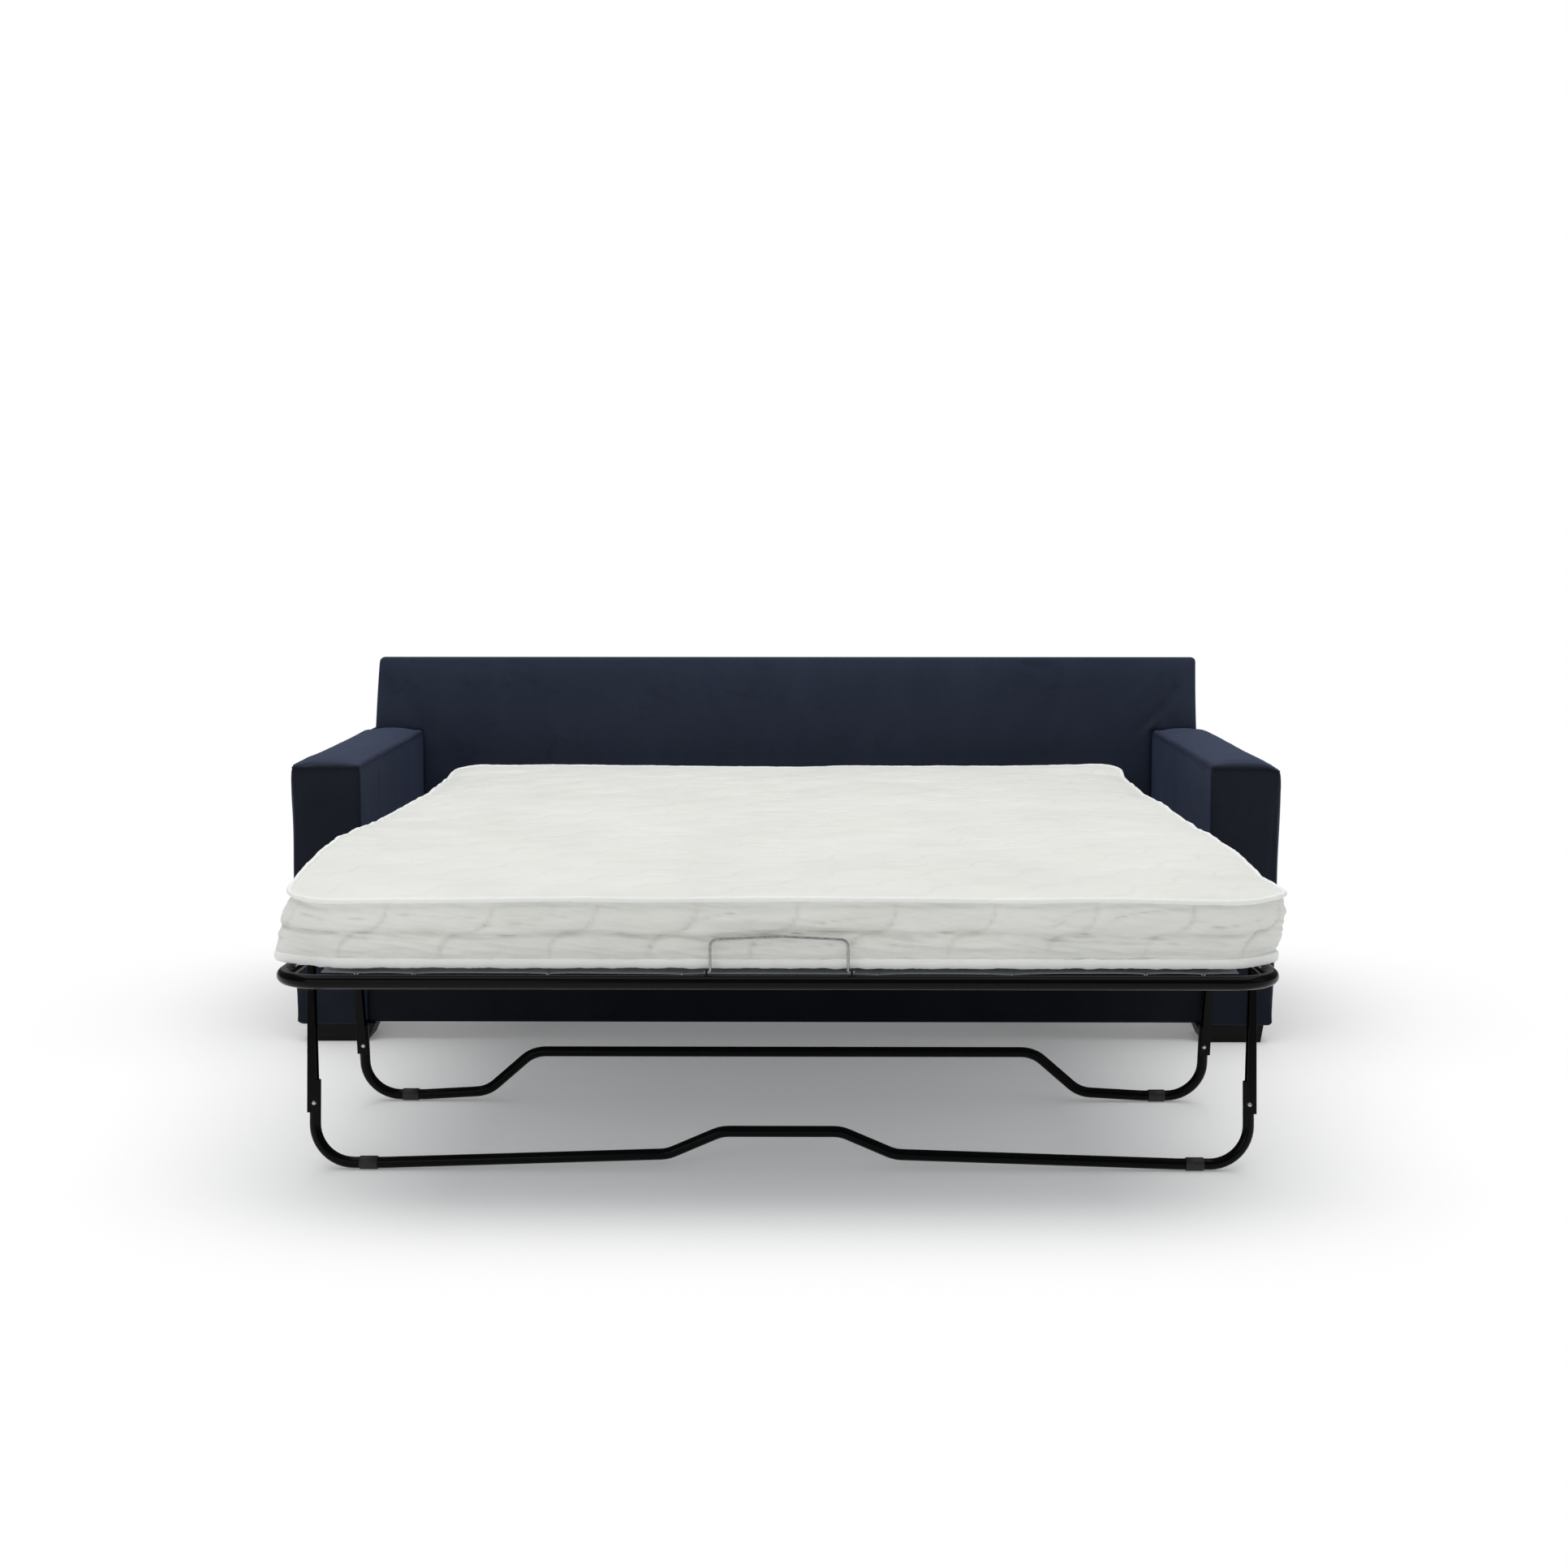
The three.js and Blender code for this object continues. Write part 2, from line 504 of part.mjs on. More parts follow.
SIDES.forEach(([name, side]) => {
  [['foot', K_Y], ['knee', P_Y], ['head', A_Y]].forEach(([where, y]) => {
    place(`${where}_hinge_pin_${name}`, onSide(side, hingePin(y)), ZINC);
  });
  [['front', FRONT_LEG], ['mid', MID_LEG]].forEach(([where, leg]) => {
    place(`${where}_leg_channel_${name}`, onSide(side, tilted(leg, legChannel(leg))), BLACK_STEEL);
    place(`${where}_leg_rivet_${name}`, onSide(side, tilted(leg, legRivet())), ZINC);
    place(`${where}_leg_glide_${name}`, onSide(side, tilted(leg, legGlide(leg))), BLACK_PLASTIC);
    place(`${where}_leg_bolt_${name}`, onSide(side, legBolt(leg)), ZINC);
  });
});
place('front_leg_tube', tilted(FRONT_LEG, legTube(FRONT_LEG)), BLACK_STEEL);
place('mid_leg_tube', tilted(MID_LEG, legTube(MID_LEG)), BLACK_STEEL);

// ---- deck fabric, with the wire hooks that tie it to the tubes ----

const hook = (a, b) => tube([v(...a), v(...b)], 1.5, 5);

function deck(y0, y1, endHooks) {
  const z = DECK_Z + DECK_THICK / 2;
  let sheet = box(-DECK_HALF, DECK_HALF, y0, y1, DECK_Z, DECK_Z + DECK_THICK);
  const count = Math.max(2, Math.round((y1 - y0) / 110));
  for (let i = 0; i < count; i += 1) {
    const y = y0 + ((i + 0.5) * (y1 - y0)) / count;
    sheet = sheet.add(both(hook([DECK_HALF - 3, y, z], [RAIL_X - 13.5, y, HINGE_Z + 7.5])));
  }
  if (endHooks) {
    const edge = endHooks < 0 ? y0 : y1;
    const rail = endHooks < 0 ? FOOT_END_Y + 13.5 : HEAD_END_Y - 8 - 13.5;
    for (let x = 70; x < 640; x += 140) {
      sheet = sheet.add(both(hook([x, edge - endHooks * 3, z], [x, rail, HINGE_Z + 7.5])));
    }
  }
  return sheet;
}

place('foot_deck', deck(FOOT_END_Y + 45, K_Y - END_GAP, -1), DECK_CLOTH);
place('knee_deck', deck(K_Y + END_GAP, P_Y - END_GAP, 0), DECK_CLOTH);
place('body_deck', deck(P_Y + END_GAP, A_Y - END_GAP, 0), DECK_CLOTH);
place('head_deck', deck(A_Y + END_GAP, HEAD_END_Y - 50, 1), DECK_CLOTH);

// ---- mattress, in the four lengths that fold with the frame ----

// Plan outline with the corners at one end rounded: end -1 rounds the low-Y end, +1 the high-Y end.
function padOutline(y0, y1, end, r = 70) {
  const w = MATTRESS_HALF;
  const arc = (cx, cy, start) => Array.from({ length: 7 }, (_, i) => {
    const a = rad(start + 15 * i);
    return [cx + r * Math.cos(a), cy + r * Math.sin(a)];
  });
  const low = end < 0 ? [...arc(-w + r, y0 + r, 180), ...arc(w - r, y0 + r, 270)] : [[-w, y0], [w, y0]];
  const high = end > 0 ? [...arc(w - r, y1 - r, 0), ...arc(-w + r, y1 - r, 90)] : [[w, y1], [-w, y1]];
  return [...low, ...high];
}

const pad = (y0, y1, end) => planPlate(padOutline(y0, y1, end), MATTRESS_LOW, MATTRESS_TOP);
place('mattress_foot', pad(MATTRESS_FOOT_Y, K_Y - 0.4, -1), TICKING);
place('mattress_knee', pad(K_Y + 0.4, P_Y - 0.4, 0), TICKING);
place('mattress_body', pad(P_Y + 0.4, A_Y - 0.4, 0), TICKING);
place('mattress_head', pad(A_Y + 0.4, HEAD_END_Y, 1), TICKING);

export default sofaBed;
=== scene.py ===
"""Pull-out sofa bed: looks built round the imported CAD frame."""
import json
import math

import bmesh
import bpy
import numpy as np
from mathutils import Matrix, Vector


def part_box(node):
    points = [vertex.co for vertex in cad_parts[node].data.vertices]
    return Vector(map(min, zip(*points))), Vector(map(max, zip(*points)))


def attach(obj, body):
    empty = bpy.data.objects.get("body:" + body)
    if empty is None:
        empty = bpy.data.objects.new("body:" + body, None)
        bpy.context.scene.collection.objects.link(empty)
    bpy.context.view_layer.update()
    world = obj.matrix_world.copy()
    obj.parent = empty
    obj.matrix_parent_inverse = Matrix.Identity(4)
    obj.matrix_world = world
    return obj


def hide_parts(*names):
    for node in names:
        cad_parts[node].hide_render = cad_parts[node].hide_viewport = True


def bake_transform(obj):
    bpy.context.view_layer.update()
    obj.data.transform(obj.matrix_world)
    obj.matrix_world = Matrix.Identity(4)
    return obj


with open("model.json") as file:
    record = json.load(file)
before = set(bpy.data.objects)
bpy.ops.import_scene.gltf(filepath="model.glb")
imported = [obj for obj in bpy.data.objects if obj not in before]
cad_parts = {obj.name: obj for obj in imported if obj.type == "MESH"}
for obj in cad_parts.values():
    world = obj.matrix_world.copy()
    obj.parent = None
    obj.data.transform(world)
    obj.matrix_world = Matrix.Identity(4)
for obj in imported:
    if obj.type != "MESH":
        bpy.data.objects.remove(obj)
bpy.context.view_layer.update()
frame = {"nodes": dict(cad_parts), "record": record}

# ---------------------------------------------------------------- places read from the frame
BOX = {n: (np.array(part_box(n)[0]), np.array(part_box(n)[1])) for n in frame["nodes"]}


def mid(node):
    return (BOX[node][0] + BOX[node][1]) / 2


ARM_LO, ARM_HI = BOX["arm_right"]
SHIFT = ARM_LO[1]                     # the arms' front faces
# hinge lines across the bed: foot/knee, knee/body, body/head
K_Y, P_Y, A_Y = (mid(f"{n}_hinge_pin_left")[1] for n in ("foot", "knee", "head"))
HINGE_Z = mid("foot_hinge_pin_left")[2]
RAIL_R, RAIL_X, CROSS_R = 0.011, 0.744, 0.008
FOOT_END = BOX["foot_frame"][0][1] + RAIL_R
HEAD_END = BOX["head_frame"][1][1] - RAIL_R
END_GAP = 0.017                       # from a hinge line to the ends of the rails
STRAP_IN, STRAP_MID, STRAP_OUT = 0.7544, 0.7582, 0.7618
STRAP_LONG, STRAP_HALF = 0.070, 0.0095
PIN_R, SLACK = 0.004, 0.0003          # SLACK is what parts that turn on each other are kept apart
LINK_X = 0.825
LEG_X, LEG_R, GLIDE_R = 0.780, 0.0095, 0.0113
SETTLE_FRAMES = 14
SIDES = ((-1, "left"), (1, "right"))

# ---------------------------------------------------------------- small tools


def table_noise(x, y, seed):
    """Smooth noise from a fixed table, about -1 to 1."""
    t = np.random.RandomState(seed).rand(128, 128) * 2 - 1
    x, y = np.broadcast_arrays(np.asarray(x, float), np.asarray(y, float))
    xi, yi = np.floor(x).astype(int), np.floor(y).astype(int)
    fx, fy = x - xi, y - yi
    fx, fy = fx ** 3 * (fx * (fx * 6 - 15) + 10), fy ** 3 * (fy * (fy * 6 - 15) + 10)
    a, b = t[xi % 128, yi % 128], t[(xi + 1) % 128, yi % 128]
    c, d = t[xi % 128, (yi + 1) % 128], t[(xi + 1) % 128, (yi + 1) % 128]
    return (a * (1 - fx) + b * fx) * (1 - fy) + (c * (1 - fx) + d * fx) * fy


def unit(x):
    """x held between 0 and 1."""
    return np.clip(x, 0, 1)


def ease(x, a, b):
    """0 up to a and 1 from b, smooth between."""
    t = unit((np.asarray(x, float) - a) / (b - a))
    return t * t * (3 - 2 * t)


def bell(x, at, width):
    """1 at a place, falling to nothing at both sides."""
    return np.exp(-((np.asarray(x, float) - at) / width) ** 2)


def hump(x):
    """One half wave as x goes from 0 to 1."""
    return np.sin(np.pi * unit(x))


class Shell:
    """Vertices and faces gathered from several closed parts."""

    def __init__(self):
        self.v, self.f = [], []

    def add(self, part):
        v, f = part
        base = len(self.v)
        self.v.extend([tuple(p) for p in v])
        self.f.extend([tuple(int(i) + base for i in q) for q in f])
        return self

    def both(self, part):
        self.add(part)
        v, f = part
        flipped = np.array(v, float) * [-1, 1, 1]
        return self.add((flipped, [tuple(reversed([int(i) for i in q])) for q in f]))


def mirrored(part, s):
    """A part where it is for s = 1, or at the other side for s = -1."""
    v, f = part
    return [(s * p[0], p[1], p[2]) for p in v], f


def link(obj):
    bpy.context.scene.collection.objects.link(obj)
    return obj


def turn_outward(mesh):
    bm = bmesh.new()
    bm.from_mesh(mesh)
    bmesh.ops.recalc_face_normals(bm, faces=bm.faces)
    bm.to_mesh(mesh)
    bm.free()


def number_points(mesh, name, values):
    """Give each vertex a number for the material to read."""
    mesh.attributes.new(name, "FLOAT", "POINT").data.foreach_set("value", np.asarray(values, np.float32))


def make(name, shell, material, recalc=True, smooth=True, seam=None):
    mesh = bpy.data.meshes.new(name)
    mesh.from_pydata(shell.v, [], shell.f)
    if seam is not None:
        number_points(mesh, "seam", seam)
    mesh.materials.append(material)
    if recalc:
        turn_outward(mesh)
    mesh.polygons.foreach_set("use_smooth", [smooth] * len(mesh.polygons))
    mesh.update()
    return link(bpy.data.objects.new(name, mesh))


def settled(verts, faces, held, pressure, cap, recalc=False):
    """Where a cover comes to rest when its filling pushes it out, but no further than cap.

    It is a cloth simulation, and the cover doesn't move where held is 1."""
    rest = np.array(verts, float)
    mesh = bpy.data.meshes.new("settling")
    mesh.from_pydata([tuple(p) for p in rest], [], [tuple(int(i) for i in q) for q in faces])
    if recalc:
        turn_outward(mesh)
    obj = link(bpy.data.objects.new("settling", mesh))
    group = obj.vertex_groups.new(name="held")
    steps = np.round(unit(held), 1)
    for level in np.unique(steps[steps > 0]):
        group.add([int(i) for i in np.nonzero(steps == level)[0]], float(level), "REPLACE")
    cloth = obj.modifiers.new("cloth", "CLOTH")
    c = cloth.settings
    c.quality, c.mass, c.use_pressure, c.uniform_pressure_force = 4, 0.3, True, pressure
    c.vertex_group_mass = "held"
    c.effector_weights.gravity = 0
    cloth.collision_settings.use_collision = False
    cloth.point_cache.frame_start, cloth.point_cache.frame_end = 1, SETTLE_FRAMES
    for frame_no in range(1, SETTLE_FRAMES + 1):
        bpy.context.scene.frame_set(frame_no)
    result = obj.evaluated_get(bpy.context.evaluated_depsgraph_get()).to_mesh()
    after = np.zeros(rest.size, np.float32)
    result.vertices.foreach_get("co", after)
    move = after.reshape(-1, 3) - rest
    size = np.linalg.norm(move, axis=1)
    bpy.data.objects.remove(obj)
    bpy.data.meshes.remove(mesh)
    bpy.context.scene.frame_set(1)
    return rest + move * (cap * np.tanh(size / cap) / np.maximum(size, 1e-9))[:, None]


def bevelled(obj, width, angle=35, segments=2):
    b = obj.modifiers.new("edge", "BEVEL")
    b.width, b.segments, b.limit_method, b.angle_limit = width, segments, "ANGLE", math.radians(angle)
    b.use_clamp_overlap = True
    obj.modifiers.new("normals", "WEIGHTED_NORMAL").keep_sharp = True
    return obj


def bent(corners, radii, steps):
    """Corner points with each inner corner rounded to its radius."""
    c = [np.array(p, float) for p in corners]
    out = [c[0]]
    for i in range(1, len(c) - 1):
        a, b = c[i - 1] - c[i], c[i + 1] - c[i]
        a, b = a / np.linalg.norm(a), b / np.linalg.norm(b)
        half = math.acos(max(-1, min(1, float(a @ b)))) / 2
        r = radii[i - 1]
        centre = (a + b) / np.linalg.norm(a + b) * r / math.sin(half) + c[i]
        s, e = a * r / math.tan(half) + c[i] - centre, b * r / math.tan(half) + c[i] - centre
        sweep = math.acos(max(-1, min(1, float(s @ e) / r / r)))
        n = max(3, round(steps * sweep / (math.pi / 2)))
        for k in range(n + 1):
            t = sweep * k / n
            out.append(centre + (s * math.sin(sweep - t) + e * math.sin(t)) / math.sin(sweep))
    out.append(c[-1])
    return out


def circle(radius, sides):
    turns = [2 * math.pi * i / sides for i in range(sides)]
    return [(radius * math.cos(t), radius * math.sin(t)) for t in turns]


def lofted(rings, k):
    """The faces of a closed form through rings of k points each, with its two ends."""
    f = [(i * k + j, i * k + (j + 1) % k, (i + 1) * k + (j + 1) % k, (i + 1) * k + j)
         for i in range(rings - 1) for j in range(k)]
    return f + [tuple(reversed(range(k))), tuple(range((rings - 1) * k, rings * k))]


def tube(points, radius, sides, up=None):
    """A round tube along points."""
    p = np.array(points, float)
    d = np.diff(p, axis=0)
    d /= np.linalg.norm(d, axis=1)[:, None]
    t = np.vstack([d[:1], (d[:-1] + d[1:]), d[-1:]])
    t /= np.linalg.norm(t, axis=1)[:, None]
    first = np.array([0, 0, 1.0]) if abs(t[0][2]) < 0.9 else np.array([1.0, 0, 0])
    v, u = [], first - t[0] * (first @ t[0])
    for i in range(len(p)):
        if up is not None:
            u = np.array(up, float)
        u = u - t[i] * (u @ t[i])
        u /= np.linalg.norm(u)
        w = np.cross(t[i], u)
        v.extend(p[i] + w * a + u * b for a, b in circle(radius, sides))
    return v, lofted(len(p), sides)


def prism(outline, axis, a, b):
    """An outline in the two axes other than axis, in x-y-z order, carried from a to b."""
    v = []
    for c in (a, b):
        for p in outline:
            q = list(p)
            q.insert(axis, c)
            v.append(q)
    return v, lofted(2, len(outline))


def block(x0, x1, y0, y1, z0, z1):
    return prism([(y0, z0), (y1, z0), (y1, z1), (y0, z1)], 0, x0, x1)


def turned(steps, y, z, sides=24):
    """A turned piece about X: (x, radius) steps."""
    return [(x, y + a, z + b) for x, r in steps for a, b in circle(r, sides)], lofted(len(steps), sides)


def strip(a, b, radius, steps=12):
    """A round-ended strip in side view, from one (y, z) centre to another."""
    turn = math.atan2(b[1] - a[1], b[0] - a[0])
    out = []
    for c, start in ((a, turn + math.pi / 2), (b, turn - math.pi / 2)):
        angles = [start + math.pi * i / steps for i in range(steps + 1)]
        out += [(c[0] + radius * math.cos(t), c[1] + radius * math.sin(t)) for t in angles]
    return out


def quads(grid):
    """Four-sided faces between the points of a grid of vertex numbers."""
    return np.stack([grid[:-1, :-1], grid[1:, :-1], grid[1:, 1:], grid[:-1, 1:]], -1).reshape(-1, 4)


def rounded_box(lo, hi, r, step, corner):
    """A box with rounded edges as (vertices, faces, outward directions), with even quads between."""
    axes = []
    for a in range(3):
        edge = [r * (1 - math.tan(math.pi / 4 * k / corner)) for k in range(corner, -1, -1)]
        inner = hi[a] - lo[a] - 2 * r
        n = max(1, round(inner / step[a]))
        between = [lo[a] + r + inner * k / n for k in range(1, n)]
        axes.append(np.array([lo[a] + e for e in edge] + between + [hi[a] - e for e in reversed(edge)]))
    n = [len(a) for a in axes]
    idx = -np.ones(n, int)
    i, j, k = np.indices(n)
    on = (i == 0) | (i == n[0] - 1) | (j == 0) | (j == n[1] - 1) | (k == 0) | (k == n[2] - 1)
    idx[on] = np.arange(on.sum())
    p = np.stack([axes[0][i[on]], axes[1][j[on]], axes[2][k[on]]], 1)
    c = np.clip(p, np.array(lo) + r, np.array(hi) - r)
    d = p - c
    d /= np.linalg.norm(d, axis=1)[:, None]
    sheets = (idx[0][:, ::-1], idx[-1], idx[:, 0], idx[:, -1][:, ::-1], idx[:, :, 0][:, ::-1], idx[:, :, -1])
    return c + d * r, np.vstack([quads(grid) for grid in sheets]), d


# ---------------------------------------------------------------- materials
def new_material(name):
    m = bpy.data.materials.new(name)
    m.use_nodes = True
    return m, m.node_tree


def add(nt, kind, links=None, **settings):
    """A node with its settings; links and number inputs are given by socket name or index."""
    n = nt.nodes.new(kind)
    for k, v in settings.items():
        setattr(n, k, v)
    for k, v in (links or {}).items():
        s = n.inputs[k]
        if isinstance(v, bpy.types.NodeSocket):
            nt.links.new(v, s)
        else:
            s.default_value = v
    return n


def coords(nt, scale=(1, 1, 1)):
    c = add(nt, "ShaderNodeTexCoord")
    return add(nt, "ShaderNodeMapping", {"Vector": c.outputs["Object"], "Scale": scale}).outputs[0]


def noise(nt, vector, scale, detail=3.0, rough=0.55, distortion=0.0):
    links = {"Vector": vector, "Scale": scale, "Detail": detail, "Roughness": rough, "Distortion": distortion}
    return add(nt, "ShaderNodeTexNoise", links).outputs["Fac"]


def wave(nt, vector, way, scale, distortion, detail=2.0, detail_scale=1.0):
    links = {"Vector": vector, "Scale": scale, "Distortion": distortion, "Detail": detail,
             "Detail Scale": detail_scale}
    return add(nt, "ShaderNodeTexWave", links, bands_direction=way).outputs["Fac"]


def maths(nt, op, a, b=0.0):
    return add(nt, "ShaderNodeMath", {0: a, 1: b}, operation=op).outputs[0]


def shaded(k, *colour):
    return tuple(k * c for c in colour)


def ramp(nt, fac, stops):
    r = add(nt, "ShaderNodeValToRGB", {"Fac": fac})
    e = r.color_ramp.elements
    while len(e) < len(stops):
        e.new(0.5)
    for el, (at, col) in zip(e, stops):
        el.position, el.color = at, (*col, 1)
    return r.outputs["Color"]


def span(nt, value, lo, hi, to_lo, to_hi, kind="LINEAR"):
    links = {"Value": value, "From Min": lo, "From Max": hi, "To Min": to_lo, "To Max": to_hi}
    return add(nt, "ShaderNodeMapRange", links, interpolation_type=kind).outputs[0]


def blend_colour(nt, fac, a, b):
    first, second = ((*v, 1) if isinstance(v, tuple) else v for v in (a, b))
    return add(nt, "ShaderNodeMix", {0: fac, 6: first, 7: second}, data_type="RGBA").outputs[2]


def bump(nt, height, strength, distance, before=None):
    links = {"Height": height, "Strength": strength, "Distance": distance}
    if before is not None:
        links["Normal"] = before
    return add(nt, "ShaderNodeBump", links).outputs[0]


def surface(m, colour, rough, normal, **even):
    """Join what varies over a surface to its shader, and set what is the same all over it."""
    shader = m.node_tree.nodes["Principled BSDF"]
    for name, value in (("Base Color", colour), ("Roughness", rough), ("Normal", normal)):
        m.node_tree.links.new(value, shader.inputs[name])
    for name, value in even.items():
        shader.inputs[name.replace("_", " ")].default_value = value
    return m


def velvet(name, painted_shade_scale, painted_top_light, painted_rear_light=0.0):
    """Navy velvet. The first number scales its own colours down, as painted shade for parts that sit in shade.
    The last two say how much painted light lightens a level top and a rear face."""
    m, nt = new_material(name)
    at = coords(nt)
    brushed = noise(nt, coords(nt, (1.0, 1.0, 0.55)), 7.0, 4, 0.62, 0.8)
    broad = noise(nt, at, 2.2, 2, 0.5, 0.4)
    fibre = noise(nt, at, 1500.0, 2, 0.7)
    streak = noise(nt, coords(nt, (1.0, 1.0, 0.12)), 95.0, 2, 0.6)
    nap = maths(nt, "ADD", maths(nt, "MULTIPLY", brushed, 0.62), maths(nt, "MULTIPLY", broad, 0.38))
    nap = maths(nt, "ADD", nap, maths(nt, "MULTIPLY", maths(nt, "SUBTRACT", streak, 0.5), 0.03))
    colour = ramp(nt, nap, [(0.30, shaded(painted_shade_scale, 0.0128, 0.0178, 0.0340)),
                            (0.50, shaded(painted_shade_scale, 0.0150, 0.0208, 0.0392)),
                            (0.70, shaded(painted_shade_scale, 0.0176, 0.0240, 0.0445))])
    fine = span(nt, fibre, 0.3, 0.7, 0.0, 0.30)
    colour = blend_colour(nt, fine, colour, shaded(painted_shade_scale, 0.033, 0.044, 0.075))
    # smudges where hands have turned the nap
    smudge = span(nt, noise(nt, coords(nt, (1.0, 1.0, 1.7)), 11.0, 5, 0.68, 0.6), 0.56, 0.70, 0.0, 0.30)
    colour = blend_colour(nt, smudge, colour, shaded(painted_shade_scale, 0.0070, 0.0095, 0.0200))
    # painted light: a level top is lightened as if lit from above, and a face towards the rear is lightened
    # back towards the plain velvet's tone, out of its painted shade
    facing = add(nt, "ShaderNodeSeparateXYZ", {0: add(nt, "ShaderNodeNewGeometry").outputs["Normal"]}).outputs
    rear = span(nt, facing["Y"], 0.4, 0.9, 0.0, painted_rear_light)
    colour = blend_colour(nt, rear, colour, (0.0165, 0.0226, 0.0420))
    top = span(nt, facing["Z"], 0.35, 1.0, 0.0, painted_top_light)
    colour = blend_colour(nt, top, colour, (0.041, 0.053, 0.090))
    seam = add(nt, "ShaderNodeAttribute", attribute_name="seam").outputs["Fac"]
    colour = blend_colour(nt, maths(nt, "MULTIPLY", seam, 0.92), colour, (0.0030, 0.0036, 0.0070))
    normal = bump(nt, noise(nt, at, 24.0, 3, 0.5), 0.30, 0.0018)
    normal = bump(nt, fibre, 0.45, 0.0004, bump(nt, brushed, 0.12, 0.003, normal))
    return surface(m, colour, span(nt, nap, 0.3, 0.7, 0.92, 0.74), normal, Sheen_Weight=0.17,
                   Sheen_Roughness=0.38, Sheen_Tint=(0.33, 0.43, 0.82, 1), Specular_IOR_Level=0.18)


def ticking(name, tape=False):
    """Off-white quilted ticking, or the plain binding tape round its edges."""
    m, nt = new_material(name)
    at = coords(nt)
    cloud = noise(nt, at, 5.0, 3, 0.55)
    slub = noise(nt, coords(nt, (60.0, 420.0, 420.0)), 1.0, 2, 0.6)
    warp, weft = (wave(nt, at, way, 300.0, 1.2, 1.0) for way in ("X", "Z" if tape else "Y"))
    if tape:
        colour = ramp(nt, cloud, [(0.3, (0.775, 0.795, 0.775)), (0.7, (0.83, 0.845, 0.83))])
    else:
        colour = ramp(nt, cloud, [(0.3, (0.680, 0.688, 0.652)), (0.5, (0.715, 0.724, 0.690)),
                                  (0.7, (0.745, 0.750, 0.722))])
        # stitching darkens the ticking, and so does painted shade along the border's fold, which comes in the
        # same attribute
        line = add(nt, "ShaderNodeAttribute", attribute_name="stitch_and_fold_shade").outputs["Fac"]
        colour = blend_colour(nt, maths(nt, "MULTIPLY", line, 0.40), colour, (0.45, 0.44, 0.39))
        stain = span(nt, noise(nt, coords(nt, (7.0, 7.0, 22.0)), 1.0, 3, 0.6), 0.50, 0.75, 0.0, 0.22)
        colour = blend_colour(nt, stain, colour, (0.71, 0.68, 0.58))
    colour = blend_colour(nt, span(nt, slub, 0.45, 0.75, 0.0, 0.16), colour, (0.60, 0.60, 0.565))
    normal = bump(nt, maths(nt, "MULTIPLY", warp, weft), 0.35, 0.0004)
    puckers = noise(nt, coords(nt, (14.0, 30.0, 40.0)), 1.0, 3, 0.6, 0.6)
    normal = bump(nt, puckers, 0.15 if tape else 0.35, 0.004, normal)
    return surface(m, colour, span(nt, cloud, 0.3, 0.7, 0.92, 0.80), bump(nt, slub, 0.2, 0.0005, normal),
                   Sheen_Weight=0.12, Sheen_Roughness=0.5, Specular_IOR_Level=0.22)


def black_steel():
    """Glossy black powder coat with a faint orange peel and rubbed spots."""
    m, nt = new_material("black_steel")
    at = coords(nt)
    dust = noise(nt, at, 22.0, 5, 0.7, 0.4)
    rub = maths(nt, "MULTIPLY", span(nt, dust, 0.62, 0.74, 0.0, 1.0), 0.25)
    colour = blend_colour(nt, rub, (0.0013, 0.0014, 0.0015), (0.007, 0.007, 0.008))
    return surface(m, colour, span(nt, dust, 0.3, 0.75, 0.15, 0.30),
                   bump(nt, noise(nt, at, 620.0, 2, 0.5), 0.12, 0.0003),
                   Specular_IOR_Level=0.09, Coat_Weight=0.05, Coat_Roughness=0.06)


def zinc(name, shade):
    m, nt = new_material(name)
    at = coords(nt)
    cloud = noise(nt, at, 160.0, 3, 0.6)
    colour = ramp(nt, cloud, [(0.3, shaded(shade, 0.42, 0.43, 0.44)), (0.7, shaded(shade, 0.68, 0.69, 0.70))])
    return surface(m, colour, span(nt, cloud, 0.3, 0.7, 0.22, 0.42),
                   bump(nt, noise(nt, at, 900.0, 2), 0.05, 0.0002), Metallic=1.0)


def deck_fabric():
    m, nt = new_material("deck_fabric")
    at = coords(nt)
    weave = maths(nt, "MAXIMUM", *(wave(nt, at, way, 180.0, 0.6) for way in ("X", "Y")))
    cloud = noise(nt, at, 6.0, 4, 0.6)
    colour = ramp(nt, cloud, [(0.3, (0.225, 0.262, 0.290)), (0.7, (0.300, 0.340, 0.370))])
    colour = blend_colour(nt, span(nt, weave, 0.2, 1.0, 0.45, 0.0), colour, (0.120, 0.142, 0.165))
    return surface(m, colour, span(nt, cloud, 0.3, 0.7, 0.70, 0.88),
                   bump(nt, weave, 0.5, 0.0006, bump(nt, cloud, 0.3, 0.004)), Sheen_Weight=0.15)


def painted_wood():
    """Black stained feet, with the grain just showing."""
    m, nt = new_material("foot_black")
    grain = noise(nt, coords(nt, (9.0, 260.0, 260.0)), 1.0, 4, 0.6, 0.5)
    scuff = span(nt, noise(nt, coords(nt), 38.0, 4, 0.7), 0.62, 0.75, 0.0, 0.5)
    colour = blend_colour(nt, scuff, (0.0026, 0.0026, 0.0028), (0.010, 0.0095, 0.009))
    return surface(m, colour, span(nt, grain, 0.3, 0.7, 0.42, 0.62), bump(nt, grain, 0.3, 0.0005),
                   Specular_IOR_Level=0.18)


